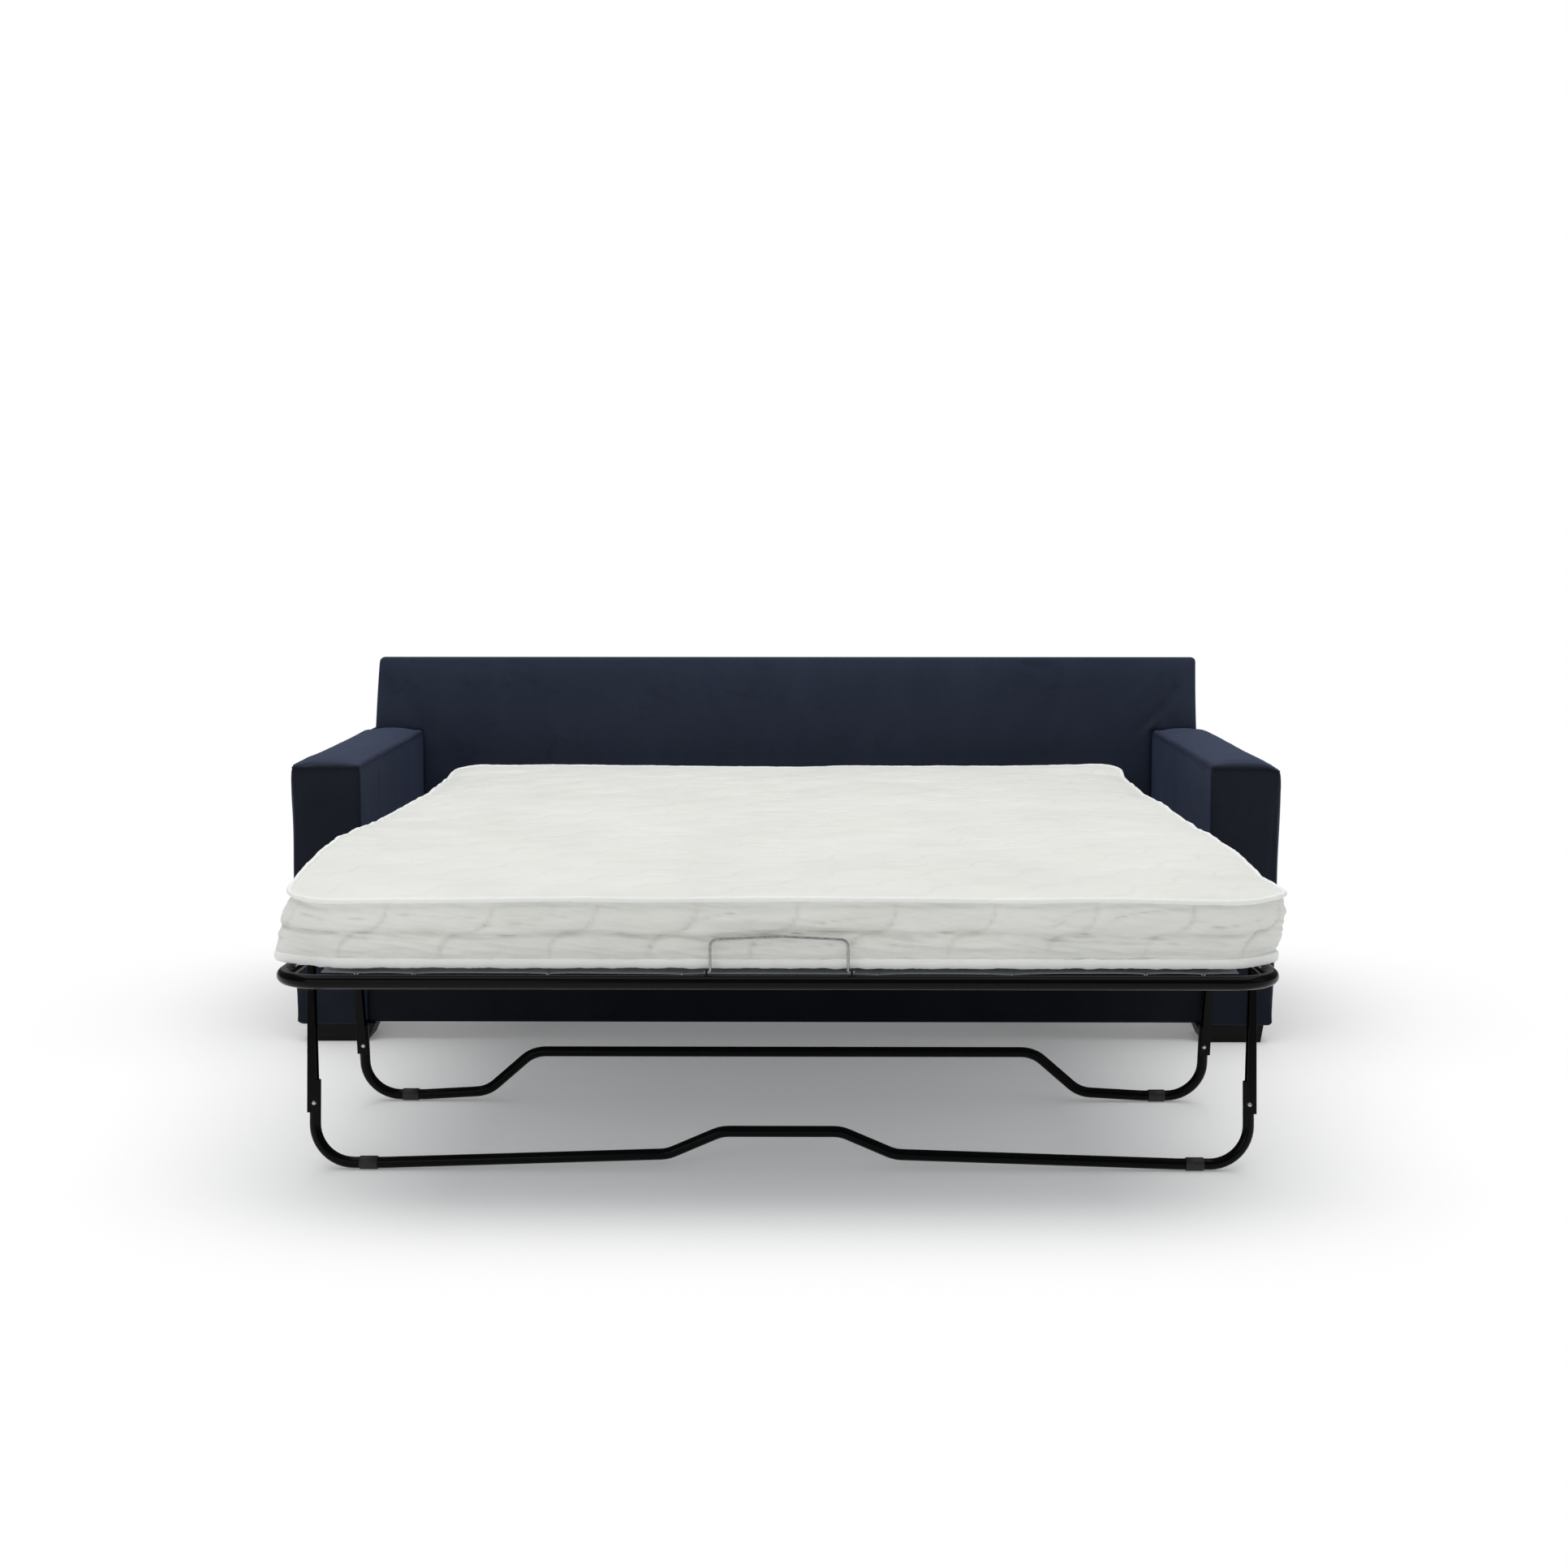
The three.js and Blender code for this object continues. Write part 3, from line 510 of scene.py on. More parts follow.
def pine():
    m, nt = new_material("pine")
    rings = wave(nt, coords(nt, (0.7, 22.0, 22.0)), "Z", 1.6, 5.0, 3.0, 1.2)
    fine = noise(nt, coords(nt, (6.0, 300.0, 300.0)), 1.0, 4, 0.65)
    colour = ramp(nt, rings, [(0.1, (0.52, 0.34, 0.17)), (0.6, (0.64, 0.46, 0.26)),
                              (0.95, (0.44, 0.26, 0.12))])
    colour = blend_colour(nt, span(nt, fine, 0.4, 0.7, 0.0, 0.4), colour, (0.40, 0.25, 0.12))
    return surface(m, colour, span(nt, fine, 0.3, 0.7, 0.55, 0.8), bump(nt, fine, 0.4, 0.0006))


def black_plastic():
    m, nt = new_material("glide_plastic")
    at = coords(nt)
    worn = noise(nt, at, 60.0, 4, 0.7)
    scuff = span(nt, worn, 0.55, 0.72, 0.0, 0.6)
    colour = blend_colour(nt, scuff, (0.013, 0.013, 0.014), (0.045, 0.045, 0.047))
    return surface(m, colour, span(nt, worn, 0.3, 0.7, 0.42, 0.62),
                   bump(nt, noise(nt, at, 1200.0, 2, 0.6), 0.25, 0.0003))


# the arm and rail velvets are darker copies of the velvet, painted shade: the front rail lies in shade under
# the bed, and the arms get painted light back on level tops and rear faces
VELVET = velvet("velvet", 1.0, 0.0)
SHADED_ARM_VELVET = velvet("arm_velvet", 0.36, 0.64, 0.85)
SHADED_RAIL_VELVET = velvet("rail_velvet", 0.22, 0.3)
TICKING, TAPE = ticking("ticking"), ticking("binding_tape", True)
STEEL, ZINC, WIRE = black_steel(), zinc("zinc", 1.0), zinc("bail_wire", 0.60)
DECK, FEET, PINE, PLASTIC = deck_fabric(), painted_wood(), pine(), black_plastic()


def placed(obj, body, *nodes):
    """Ride a piece on its body, in place of its CAD nodes."""
    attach(obj, body)
    if nodes:
        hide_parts(*nodes)
    return obj


def body_with(node):
    return next(b for b, ns in frame["record"]["behaviour"]["bodies"].items() if node in ns)


def piece(name, shell, material, *nodes, bevel=0.0):
    """A piece of hard material, with its edges bevelled, in place of its CAD nodes."""
    obj = make(name, shell, material)
    if bevel:
        bevelled(obj, bevel)
    return placed(obj, body_with(nodes[0]), *nodes)


# ---------------------------------------------------------------- upholstered sofa
# the pressure of the filling, and how far it may move a cover
ARM_FILLING, BACK_FILLING, PANEL_FILLING = (2.5, 0.0035), (2.5, 0.004), (3.0, 0.0022)
ARM_EDGE, ARM_GRID = 0.009, (0.007, 0.010, 0.0060)
ARM_TOP = 0.006        # how far the arms' top edge stands over the CAD's joint line
SEAM_DROP = 0.005      # how far their top seam lies below it
SEAM_BEHIND = 0.013    # how far their upright seams lie behind the front corners
OUTER_SPREAD = 0.0050  # how far their outer faces stand out
LEFT_OUT = 0.0030      # how much further the left arm's lower part does
REAR_IN = 0.0045       # how far their inner faces close on the rear panel
SHOULDER_WORN = 0.008  # how far the right arm's outer shoulder is worn down
HEM_OUT = 0.0030


def arm(side, name):
    lo, hi = ARM_LO, ARM_HI
    seam_z, crown = hi[2], BOX["arm_pad_right"][1][2] - hi[2]
    pad_end = BOX["arm_pad_right"][1][1]
    v, f, n = rounded_box(lo, (hi[0], hi[1], seam_z + ARM_TOP), ARM_EDGE, ARM_GRID, 5)
    x, y, z = v.T.copy()
    seed = 11 if side > 0 else 23
    u = np.clip((x - (lo[0] + hi[0]) / 2) / ((hi[0] - lo[0]) / 2), -1, 1)
    level = ease(n[:, 2], 0.2, 0.9)
    front = 1 - np.exp(-np.clip(y - lo[1], 0, 9) / 0.016)
    rear = 1 - ease(y, pad_end - 0.040, pad_end + 0.002)
    lift = (crown - ARM_TOP) * (1 - np.abs(u) ** 2.4) * front * rear
    puff = 0.0013 * table_noise(y * 5, x * 9, seed) + 0.0004 * table_noise(y * 22, x * 22, seed + 1)
    crease = -0.0010 * bell(y + 0.35 * (x - hi[0]), lo[1] + 0.045, 0.012) * bell(x, lo[0] + 0.085, 0.030)
    z = z + level * (lift + (puff + crease) * front * rear)
    z = np.where((y > pad_end + 0.004) & (z > seam_z - 0.0005), seam_z - 0.0005, z)
    # the seam round the top edge of the boxing, and the boxing puffed below it
    upright = 1 - ease(np.abs(n[:, 2]), 0.25, 0.8)
    ahead = 1 - ease(y, pad_end - 0.01, pad_end + 0.01)
    below = np.clip(seam_z - 0.004 - z, 0, 9)
    boxing = 0.0012 * (1 - np.exp(-below / 0.010)) * np.exp(-below / 0.20)
    out = boxing - 0.0026 * bell(z, seam_z - SEAM_DROP, 0.0028) * ahead
    seam = bell(z, seam_z - SEAM_DROP, 0.0034) * ahead * upright
    outer = ease(n[:, 0], 0.2, 0.9)
    out += OUTER_SPREAD * outer * ease(z, 0.03, 0.30)
    out += 0.0011 * table_noise(y * 5 + x * 5, z * 5, seed + 2)
    out += 0.0005 * table_noise(y * 17, z * 9, seed + 3)
    # seams a little behind the front corners
    side_face = ease(np.abs(n[:, 0]), 0.5, 0.95)
    side_seam = bell(y, lo[1] + SEAM_BEHIND, 0.0026) * side_face * (1 - ease(z, seam_z - 0.02, seam_z - 0.006))
    out += -0.0010 * side_seam
    seam = np.maximum(seam, 0.6 * side_seam)
    out += HEM_OUT * np.exp(-np.clip(z - lo[2], 0, 9) / 0.012) - 0.0012
    push = upright * out
    inside = n[:, 0] < -0.3
    push = np.where(inside, np.minimum(push, 0.0005), push)
    x, y = x + n[:, 0] * push, y + n[:, 1] * push
    x = x - REAR_IN * inside * ease(y, hi[1] - 0.040, hi[1] - 0.022)
    if side < 0:
        x = x + LEFT_OUT * outer * (1 - ease(z, 0.35, 0.50))
    rim = ease(n[:, 0], -0.2, 0.5) * level
    x = x + OUTER_SPREAD * rim * ease(x, lo[0] + 0.05, hi[0])
    if side > 0:
        z = z - SHOULDER_WORN * ease(x, hi[0] - 0.030, hi[0] + 0.004) * ease(z, seam_z - 0.03, seam_z + 0.01)
    fixed = inside | (n[:, 2] < -0.3) | (z < lo[2] + 0.035) | (y > pad_end - 0.006)
    v = settled(np.stack([x, y, z], 1), f, np.maximum(fixed, 1.5 * seam), *ARM_FILLING) * [side, 1, 1]
    if side < 0:
        f = f[:, ::-1]
    obj = make(f"upholstered_arm_{name}", Shell().add((v, f)), SHADED_ARM_VELVET, recalc=False, seam=seam)
    placed(obj, "sofa", f"arm_{name}", f"arm_pad_{name}")


BACK_EDGE, BACK_CORNER = 0.013, 0.012     # how its edges and its two top corners are rounded
BACK_LOW, BACK_HIGH = 0.055, 0.0055       # how far it reaches past the CAD's back, below and above
BACK_LEAN, BACK_FALL = 0.020, 0.019       # how far its front face leans and its top falls to the rear


def sofa_back():
    lo, hi = BOX["back"]
    inner = ARM_LO[0] - 0.0006
    step_z = ARM_HI[2] + 0.0008
    low, high = lo[2] - BACK_LOW, hi[2] + BACK_HIGH
    lean = BACK_LEAN / (high - low)
    r = BACK_EDGE

    def lines(a, b):
        """Places from a to b, about 12 mm apart."""
        n = max(1, round((b - a) / 0.012))
        return [a + (b - a) * k / n for k in range(n)] + [b]

    near = [0, 0.0008, 0.0024, 0.0050, 0.0085, r]
    xs = [-hi[0] + d for d in near] + lines(-hi[0] + r, -inner)[1:-1]
    xs += [-inner + d for d in near] + lines(-inner + r, 0)[1:]
    xs = np.array(xs + [-x for x in reversed(xs[:-1])])
    zs = [low + d for d in near] + lines(low + r, step_z)[1:-1]
    zs += [step_z + d for d in near] + lines(step_z + r, high - r)[1:-1]
    zs += [high - d for d in reversed(near)]
    zs = np.array(zs)
    X, Z = np.meshgrid(xs, zs, indexing="ij")
    cx, cz = (X[:-1, :-1] + X[1:, 1:]) / 2, (Z[:-1, :-1] + Z[1:, 1:]) / 2
    keep = ~((np.abs(cx) > inner) & (cz < step_z))
    ax = np.abs(X)
    d = np.minimum(hi[0] - ax, high - Z)
    notch = np.where(Z < step_z, inner - ax, np.hypot(inner - ax, Z - step_z))
    ear = np.where(ax >= inner, Z - step_z, notch)
    d = np.minimum(d, np.where(ax < inner, np.minimum(Z - low, ear), ear))
    d = np.clip(d, 0, r)
    inset = r - np.sqrt(np.maximum(r * r - (r - d) ** 2, 0))
    # rounded outline at the two top corners
    R = BACK_CORNER
    un, vn = unit((ax - (hi[0] - R)) / R), unit((Z - (high - R)) / R)
    X2 = np.where((un > 0) & (vn > 0), np.sign(X) * (hi[0] - R + R * un * np.sqrt(1 - vn ** 2 / 2)), X)
    Z2 = np.where((un > 0) & (vn > 0), high - R + R * vn * np.sqrt(1 - un ** 2 / 2), Z)
    # the ends spread a little towards the arms
    drop = unit((high - Z) / (high - step_z))
    spread = np.where(X < 0, 0.002 + 0.013 * drop ** 0.8, 0.002 + 0.004 * drop ** 2)
    X2 = X2 + np.sign(X) * spread * ease(ax, 0.80, hi[0] - 0.01)
    depth = lo[1] + lean * np.clip(Z - lo[2], 0, 9)
    fat = (d / r) ** 0.7
    soft = -0.0022 * table_noise(X * 3.1, Z * 4, 5) - 0.0011 * table_noise(X * 9, Z * 11, 6)
    # drag lines above the arms' inner corners, deeper on the right
    for sx, depth_mm, tilt in ((0.860, 6.0, 0.9), (0.890, 5.0, 0.30), (0.915, 3.5, -0.5),
                               (-0.880, 2.0, -0.6), (0.34, 0.6, 0.2), (-0.42, 0.6, -0.1)):
        s = (X - sx) - tilt * (Z - 0.60)
        soft = soft + 0.001 * depth_mm * bell(s, 0, 0.010) * bell(Z, 0.612, 0.045)
        soft = soft - 0.001 * depth_mm * 0.8 * bell(s, 0.020, 0.012) * bell(Z, 0.615, 0.045)
    fall = BACK_FALL * unit((Z2 - (high - 0.09)) / 0.09)
    yf = depth + inset + fat * np.maximum(soft, -0.0055) + 0.002
    yb = hi[1] - inset + fat * (0.0012 * table_noise(X * 3, Z * 4, 8) - 0.0014)
    n = X.shape
    used = np.zeros(n, bool)
    for a in (0, 1):
        for b in (0, 1):
            used[a:n[0] - 1 + a, b:n[1] - 1 + b] |= keep
    verts, faces = [], []
    new = -np.ones((2,) + n, int)
    for s, yy in ((0, yf), (1, yb)):
        new[s][used] = np.arange(used.sum()) + s * used.sum()
        verts.append(np.stack([X2[used], yy[used], (Z2 - s * fall)[used]], 1))
    for s in (0, 1):
        q = quads(new[s])[keep.reshape(-1)]
        faces.append(q if s == 0 else q[:, ::-1])
    verts = list(map(tuple, np.vstack(verts)))
    faces = [tuple(q) for q in np.vstack(faces)]
    # the rim between front and rear
    rim, steps = {}, 10

    def column(i, j):
        if (i, j) not in rim:
            a, b = yf[i, j], yb[i, j]
            ring = [new[0][i, j]]
            for k in range(1, steps):
                verts.append((X2[i, j], a + (b - a) * k / steps, Z2[i, j] - fall[i, j] * k / steps))
                ring.append(len(verts) - 1)
            rim[(i, j)] = ring + [new[1][i, j]]
        return rim[(i, j)]

    padded = np.pad(keep, 1)
    for i in range(n[0] - 1):
        for j in range(n[1] - 1):
            if not keep[i, j]:
                continue
            for di, dj, *ends in ((-1, 0, (0, 1), (0, 0)), (1, 0, (1, 0), (1, 1)),
                                  (0, -1, (0, 0), (1, 0)), (0, 1, (1, 1), (0, 1))):
                if not padded[i + 1 + di, j + 1 + dj]:
                    ca, cb = (column(i + u, j + v) for u, v in ends)
                    for k in range(steps):
                        faces.append((ca[k], ca[k + 1], cb[k + 1], cb[k]))
    hold = np.maximum(1 - ease(d, 0.003, 0.012), Z < lo[2] + 0.05)[used]
    held = np.ones(len(verts))
    held[:2 * used.sum()] = np.concatenate([hold, hold])
    verts = settled(verts, faces, held, *BACK_FILLING, recalc=True)
    obj = make("upholstered_back", Shell().add((verts, faces)), VELVET)
    placed(obj, "sofa", "back")


def covered_board(name, node, r, hem, seed, cover):
    """A rail or panel under tight velvet, with its lower edge turned under."""
    lo, hi = BOX[node]
    v, f, n = rounded_box(lo, hi, r, (0.014, 0.012, 0.012), 4)
    x, y, z = v.T
    out = 0.0010 * table_noise(x * 4, z * 6, seed) + 0.0005 * table_noise(x * 19, z * 5, seed + 1)
    out += -0.0016 * bell(z, lo[2] + hem, 0.003)
    y = y + n[:, 1] * ease(np.abs(n[:, 1]), 0.5, 0.95) * np.minimum(out, 0.0012)
    obj = make(name, Shell().add((np.stack([x, y, z], 1), f)), cover, recalc=False)
    return placed(obj, "sofa", node)


def foot(name):
    lo, hi = BOX[name]
    s = 1 if lo[0] > 0 else -1
    outline = [(0.855, hi[2]), (0.996, hi[2]), (0.990, lo[2]), (0.871, lo[2])]
    sh = Shell().add(prism([(s * a, b) for a, b in outline], 1, lo[1], hi[1]))
    placed(bevelled(make("sofa_" + name, sh, FEET), 0.0018, 30, 3), "sofa", name)


for s, side in SIDES:
    arm(s, side)
sofa_back()
covered_board("upholstered_front_rail", "front_rail", 0.008, 0.016, 31, SHADED_RAIL_VELVET)
covered_board("upholstered_rear_panel", "rear_panel", 0.006, 0.016, 37, VELVET)
for end in ("front", "rear"):
    for s, side in SIDES:
        foot(f"foot_{end}_{side}")

# ---------------------------------------------------------------- bed frames
REAR_PIVOT, FRONT_PIVOT = (0.548, -0.020), (0.439, 0.020)
LINK_LEN, LINK_ANGLE = 0.3503, math.radians(144.2)


def body_pivot(p):
    return (P_Y + p[0], HINGE_Z + p[1])


def root_pivot(p):
    y, z = body_pivot(p)
    return (y - LINK_LEN * math.cos(LINK_ANGLE), z - LINK_LEN * math.sin(LINK_ANGLE))


FLARE = {-1: 0.0175, 1: 0.0080}       # how far the foot hoop's sides spread at the foot end, left and right
FLARE_FROM = K_Y - END_GAP - 0.080


def foot_rail_x(y, s):
    """The foot hoop's side, which spreads from just past the hinge to the foot end."""
    return RAIL_X + FLARE[s] * max(0.0, (FLARE_FROM - y) / (FLARE_FROM - FOOT_END))


def hoop(y0, y1, bend):
    c = [(-RAIL_X, y0, HINGE_Z), (-RAIL_X, y1, HINGE_Z), (RAIL_X, y1, HINGE_Z), (RAIL_X, y0, HINGE_Z)]
    return tube(bent(c, [bend, bend], 14), RAIL_R, 24)


def foot_hoop(bend):
    y0 = K_Y - END_GAP
    side = [[(s * RAIL_X, y0, HINGE_Z), (s * RAIL_X, FLARE_FROM, HINGE_Z),
             (s * foot_rail_x(FOOT_END, s), FOOT_END, HINGE_Z)] for s in (-1, 1)]
    return tube(bent(side[0] + side[1][::-1], [.4, bend, bend, .4], 14), RAIL_R, 24)


def strap(y, way, x0, x1):
    return prism(strip((y, HINGE_Z), (y + way * STRAP_LONG, HINGE_Z), STRAP_HALF), 0, x0, x1)


def inner_strap(y, way):
    return strap(y, way, STRAP_IN, STRAP_MID)


def outer_strap(shell, y, way):
    shell.both(strap(y, way, STRAP_MID + 0.0004, STRAP_OUT))
    a, b = sorted((y + way * 0.024, y + way * STRAP_LONG))
    shell.both(block(STRAP_IN, STRAP_MID + 0.001, a, b, HINGE_Z - 0.008, HINGE_Z + 0.008))


def hanger(leg):
    """The plate that a leg's bolt hangs in."""
    y, z = leg["y"], leg["z"]
    o = [(y - .024, HINGE_Z), (y - .013, z), (y - .009, z - .009), (y, z - .013), (y + .009, z - .009),
         (y + .013, z), (y + .024, HINGE_Z)]
    return prism(o, 0, STRAP_IN, STRAP_MID)


def cross(y):
    return tube([(-RAIL_X, y, HINGE_Z), (RAIL_X, y, HINGE_Z)], CROSS_R, 20)


def rail(y0, y1):
    return tube([(RAIL_X, y0, HINGE_Z), (RAIL_X, y1, HINGE_Z)], RAIL_R, 24)


def section(which, shell):
    """One section's frame, which is one piece."""
    piece(f"{which}_section_frame", shell, STEEL, f"{which}_frame", bevel=0.0007)


# a leg: its bolt, its tilt in degrees, and half its tube's places from the middle and above the floor
FRONT_LEG = dict(y=K_Y - 0.020, z=HINGE_Z - 0.030, tilt=-7,
                 glide=0.690, base=0.190, arch=0.100, low=0.015, rise=0.053)
MID_LEG = dict(y=P_Y + 0.020, z=HINGE_Z - 0.050, tilt=8,
               glide=0.697, base=0.553, arch=0.465, low=0.007, rise=0.086)
BAIL_X, BAIL_Z = 0.1035, HINGE_Z + 0.0155

sh = Shell().add(foot_hoop(0.066)).both(inner_strap(K_Y, -1)).both(hanger(FRONT_LEG))
sh.both(prism(strip((FOOT_END, BAIL_Z - .008), (FOOT_END, BAIL_Z), .005), 0, BAIL_X + .004, BAIL_X + .007))
section("foot", sh)
sh = Shell().both(rail(K_Y + END_GAP, P_Y - END_GAP)).add(cross(K_Y + 0.110))
outer_strap(sh, K_Y, 1)
outer_strap(sh, P_Y, -1)
section("knee", sh)
sh = Shell().both(rail(P_Y + END_GAP, A_Y - END_GAP)).add(cross(P_Y + 0.120)).add(cross(A_Y - 0.120))
section("body", sh.both(inner_strap(P_Y, 1)).both(inner_strap(A_Y, -1)).both(hanger(MID_LEG)))
sh = Shell().add(hoop(A_Y + END_GAP, HEAD_END, 0.060))
outer_strap(sh, A_Y, 1)
section("head", sh)

# the wire bail that keeps the mattress from sliding
bail_y = FOOT_END - 0.0022
bail_pts = [(-BAIL_X - .010, FOOT_END, BAIL_Z), (-BAIL_X, FOOT_END, BAIL_Z), (-BAIL_X, bail_y, BAIL_Z + .050),
            (0, bail_y, BAIL_Z + .055), (BAIL_X, bail_y, BAIL_Z + .050), (BAIL_X, FOOT_END, BAIL_Z),
            (BAIL_X + .010, FOOT_END, BAIL_Z)]
bail_wire = tube(bent(bail_pts, [.003, .012, .3, .012, .003], 6), 0.002, 12, up=(0, 1, 0))
piece("wire_bail", Shell().add(bail_wire), WIRE, "mattress_bail")


def leg_length(leg):
    return (leg["z"] - GLIDE_R) / math.cos(math.radians(leg["tilt"])) + GLIDE_R


def tilted(leg, part):
    """A part of an upright leg, moved to the leg's bolt and tilted."""
    m = (Matrix.Translation((0, leg["y"], leg["z"])) @ Matrix.Rotation(math.radians(leg["tilt"]), 4, "X")
         @ Matrix.Translation((0, 0, -leg_length(leg))))
    v, f = part
    return [tuple(m @ Vector(p)) for p in v], f


def from_parts(name, node, material, s, parts, bevel=0.0, leg=None):
    """A piece of parts as they are on the right, mirrored for s = -1, and tilted with their leg."""
    sh = Shell()
    for part in parts:
        part = mirrored(part, s)
        sh.add(tilted(leg, part) if leg else part)
    piece(name, sh, material, node, bevel=bevel)


def pin(far, y, z, *between):
    """A pin about X with a head at the inner strap and one past far; between has (end, radius) steps."""
    x, steps = 0.7500, [(0.7490, .0055)]
    for end, r in ((STRAP_IN - SLACK, .0065), *between, (far + SLACK, PIN_R), (far + .0036, .007)):
        steps += [(x, r), (end, r)]
        x = end
    return turned(steps + [(far + .0043, .0058)], y, z)


def stud(base, way, y, z):
    """A headed stud from base through a swing link, with its head on the link's side way."""
    steps = [(LINK_X + way * x, r) for x, r in ((.0075, .0070), (.007, .0085), (.0036, .0085), (.0036, .006),
                                                (-.0036, .006), (-.0036, .009))] + [(base, .009)]
    return turned(steps if way < 0 else steps[::-1], y, z)


def leg(which, lg):
    half = [(LEG_X, 0, 0.150), (LEG_X, 0, GLIDE_R), (lg["glide"] - 0.027, 0, GLIDE_R),
            (lg["base"], 0, GLIDE_R + lg["low"]), (lg["arch"], 0, GLIDE_R + lg["rise"])]
    path = bent(half + [(-x, y, z) for x, y, z in reversed(half)],
                [.065, .200, .060, .060, .060, .060, .200, .065], 12)
    bent_tube = tube(path, LEG_R, 20, up=(0, 1, 0))
    from_parts(f"{which}_leg_bent_tube", f"{which}_leg_tube", STEEL, 1, [bent_tube], 0.0005, lg)
    top, low = leg_length(lg) + 0.012, 0.096
    web, gap, wall = LEG_X + LEG_R + .0004, LEG_R + .0004, .0018
    side_x, far = gap + wall, web + wall
    flange = [(far, low), (far, top), (web - .0070, top), (web - .0135, low + .060), (web - .0165, low)]
    channel = [block(web, far, -gap - wall, side_x, low, top), prism(flange, 1, gap, side_x),
               prism(flange, 1, -gap - wall, -gap)]
    half_rivet = [(side_x + .0002, .0025), (side_x + .0002, .0046), (side_x + .0020, .0026),
                  (side_x + .0022, .0012)]
    rivet, rivet_faces = turned([(-x, r) for x, r in reversed(half_rivet)] + half_rivet, 0, 0, 20)
    g0, g1, ri, ro = lg["glide"] - .015, lg["glide"] + .015, LEG_R + .0003, GLIDE_R
    sleeve, sleeve_faces = turned([(g0, ri), (g0, ro - .0007), (g0 + .001, ro), (g1 - .001, ro),
                                   (g1, ro - .0007), (g1, ri), (g0, ri)], 0, GLIDE_R, 24)
    bolt = pin(far, lg["y"], lg["z"], (STRAP_MID + SLACK, PIN_R), (web - SLACK, .008))
    for s, side in SIDES:
        lies = [(s * LEG_X + y, x, 0.112 + z) for x, y, z in rivet]      # turned to lie along Y
        for name, node, material, sign, parts, bevel, tilt in (
                ("tapered_channel", "channel", STEEL, s, channel, 0.0005, lg),
                ("dome_rivet", "rivet", ZINC, 1, [(lies, rivet_faces)], 0.0, lg),
                ("glide_sleeve", "glide", PLASTIC, s, [(sleeve, sleeve_faces[:-2])], 0.0, lg),
                ("pivot_bolt", "bolt", ZINC, s, [bolt], 0.0, None)):
            from_parts(f"{which}_leg_{name}_{side}", f"{which}_leg_{node}_{side}", material, sign, parts,
                       bevel, tilt)


leg("front", FRONT_LEG)
leg("mid", MID_LEG)

# swing links, their fixed bracket and their plate on the bed
FACE_X, PLATE_X = ARM_LO[0] - 0.0003, STRAP_OUT + .0037
(ry, rz), (fy, fz) = root_pivot(REAR_PIVOT), root_pivot(FRONT_PIVOT)
outline = [(fy - .045, .080), (ry + .060, .080), (ry + .060, rz + .030), (ry + .020, rz + .060),
           (fy - .020, fz + .055), (fy - .045, fz + .030)]
bracket = [prism(outline, 0, FACE_X - .005, FACE_X)]
bracket += [stud(FACE_X - .002, -1, y, z) for y, z in ((ry, rz), (fy, fz))]
front, rear = body_pivot(FRONT_PIVOT), body_pivot(REAR_PIVOT)
plate = [prism(strip(front, rear, .016, 16), 0, PLATE_X, PLATE_X + .004),
         block(RAIL_X + RAIL_R + .0003, PLATE_X + .001, front[0] + .013, A_Y - .083,
               HINGE_Z - .001, HINGE_Z + .009)]
plate += [stud(PLATE_X + .001, 1, y, z) for y, z in (front, rear)]
for s, side in SIDES:
    for where, y in (("foot", K_Y), ("knee", P_Y), ("head", A_Y)):
        from_parts(f"{where}_hinge_rivet_{side}", f"{where}_hinge_pin_{side}", ZINC, s,
                   [pin(STRAP_OUT, y, HINGE_Z)])
    for which, pivot in (("rear", REAR_PIVOT), ("front", FRONT_PIVOT)):
        bar = prism(strip(root_pivot(pivot), body_pivot(pivot), 0.012, 16), 0, LINK_X - .003, LINK_X + .003)
        from_parts(f"{which}_swing_link_{side}", f"{which}_link_{side}", STEEL, s, [bar], 0.001)
    from_parts(f"link_bracket_{side}", f"side_bracket_{side}", STEEL, s, bracket, 0.001)
    from_parts(f"link_mount_{side}", f"link_plate_{side}", STEEL, s, plate, 0.001)

# ---------------------------------------------------------------- deck fabric and its wire hooks
DECK_HALF, DECK_Z = 0.700, BOX["knee_deck"][0][2] + 0.0015


def hook(points):
    """A wire hook from the cloth over the tube."""
    return tube(bent(points, [.003, .004], 4), 0.0011, 8)


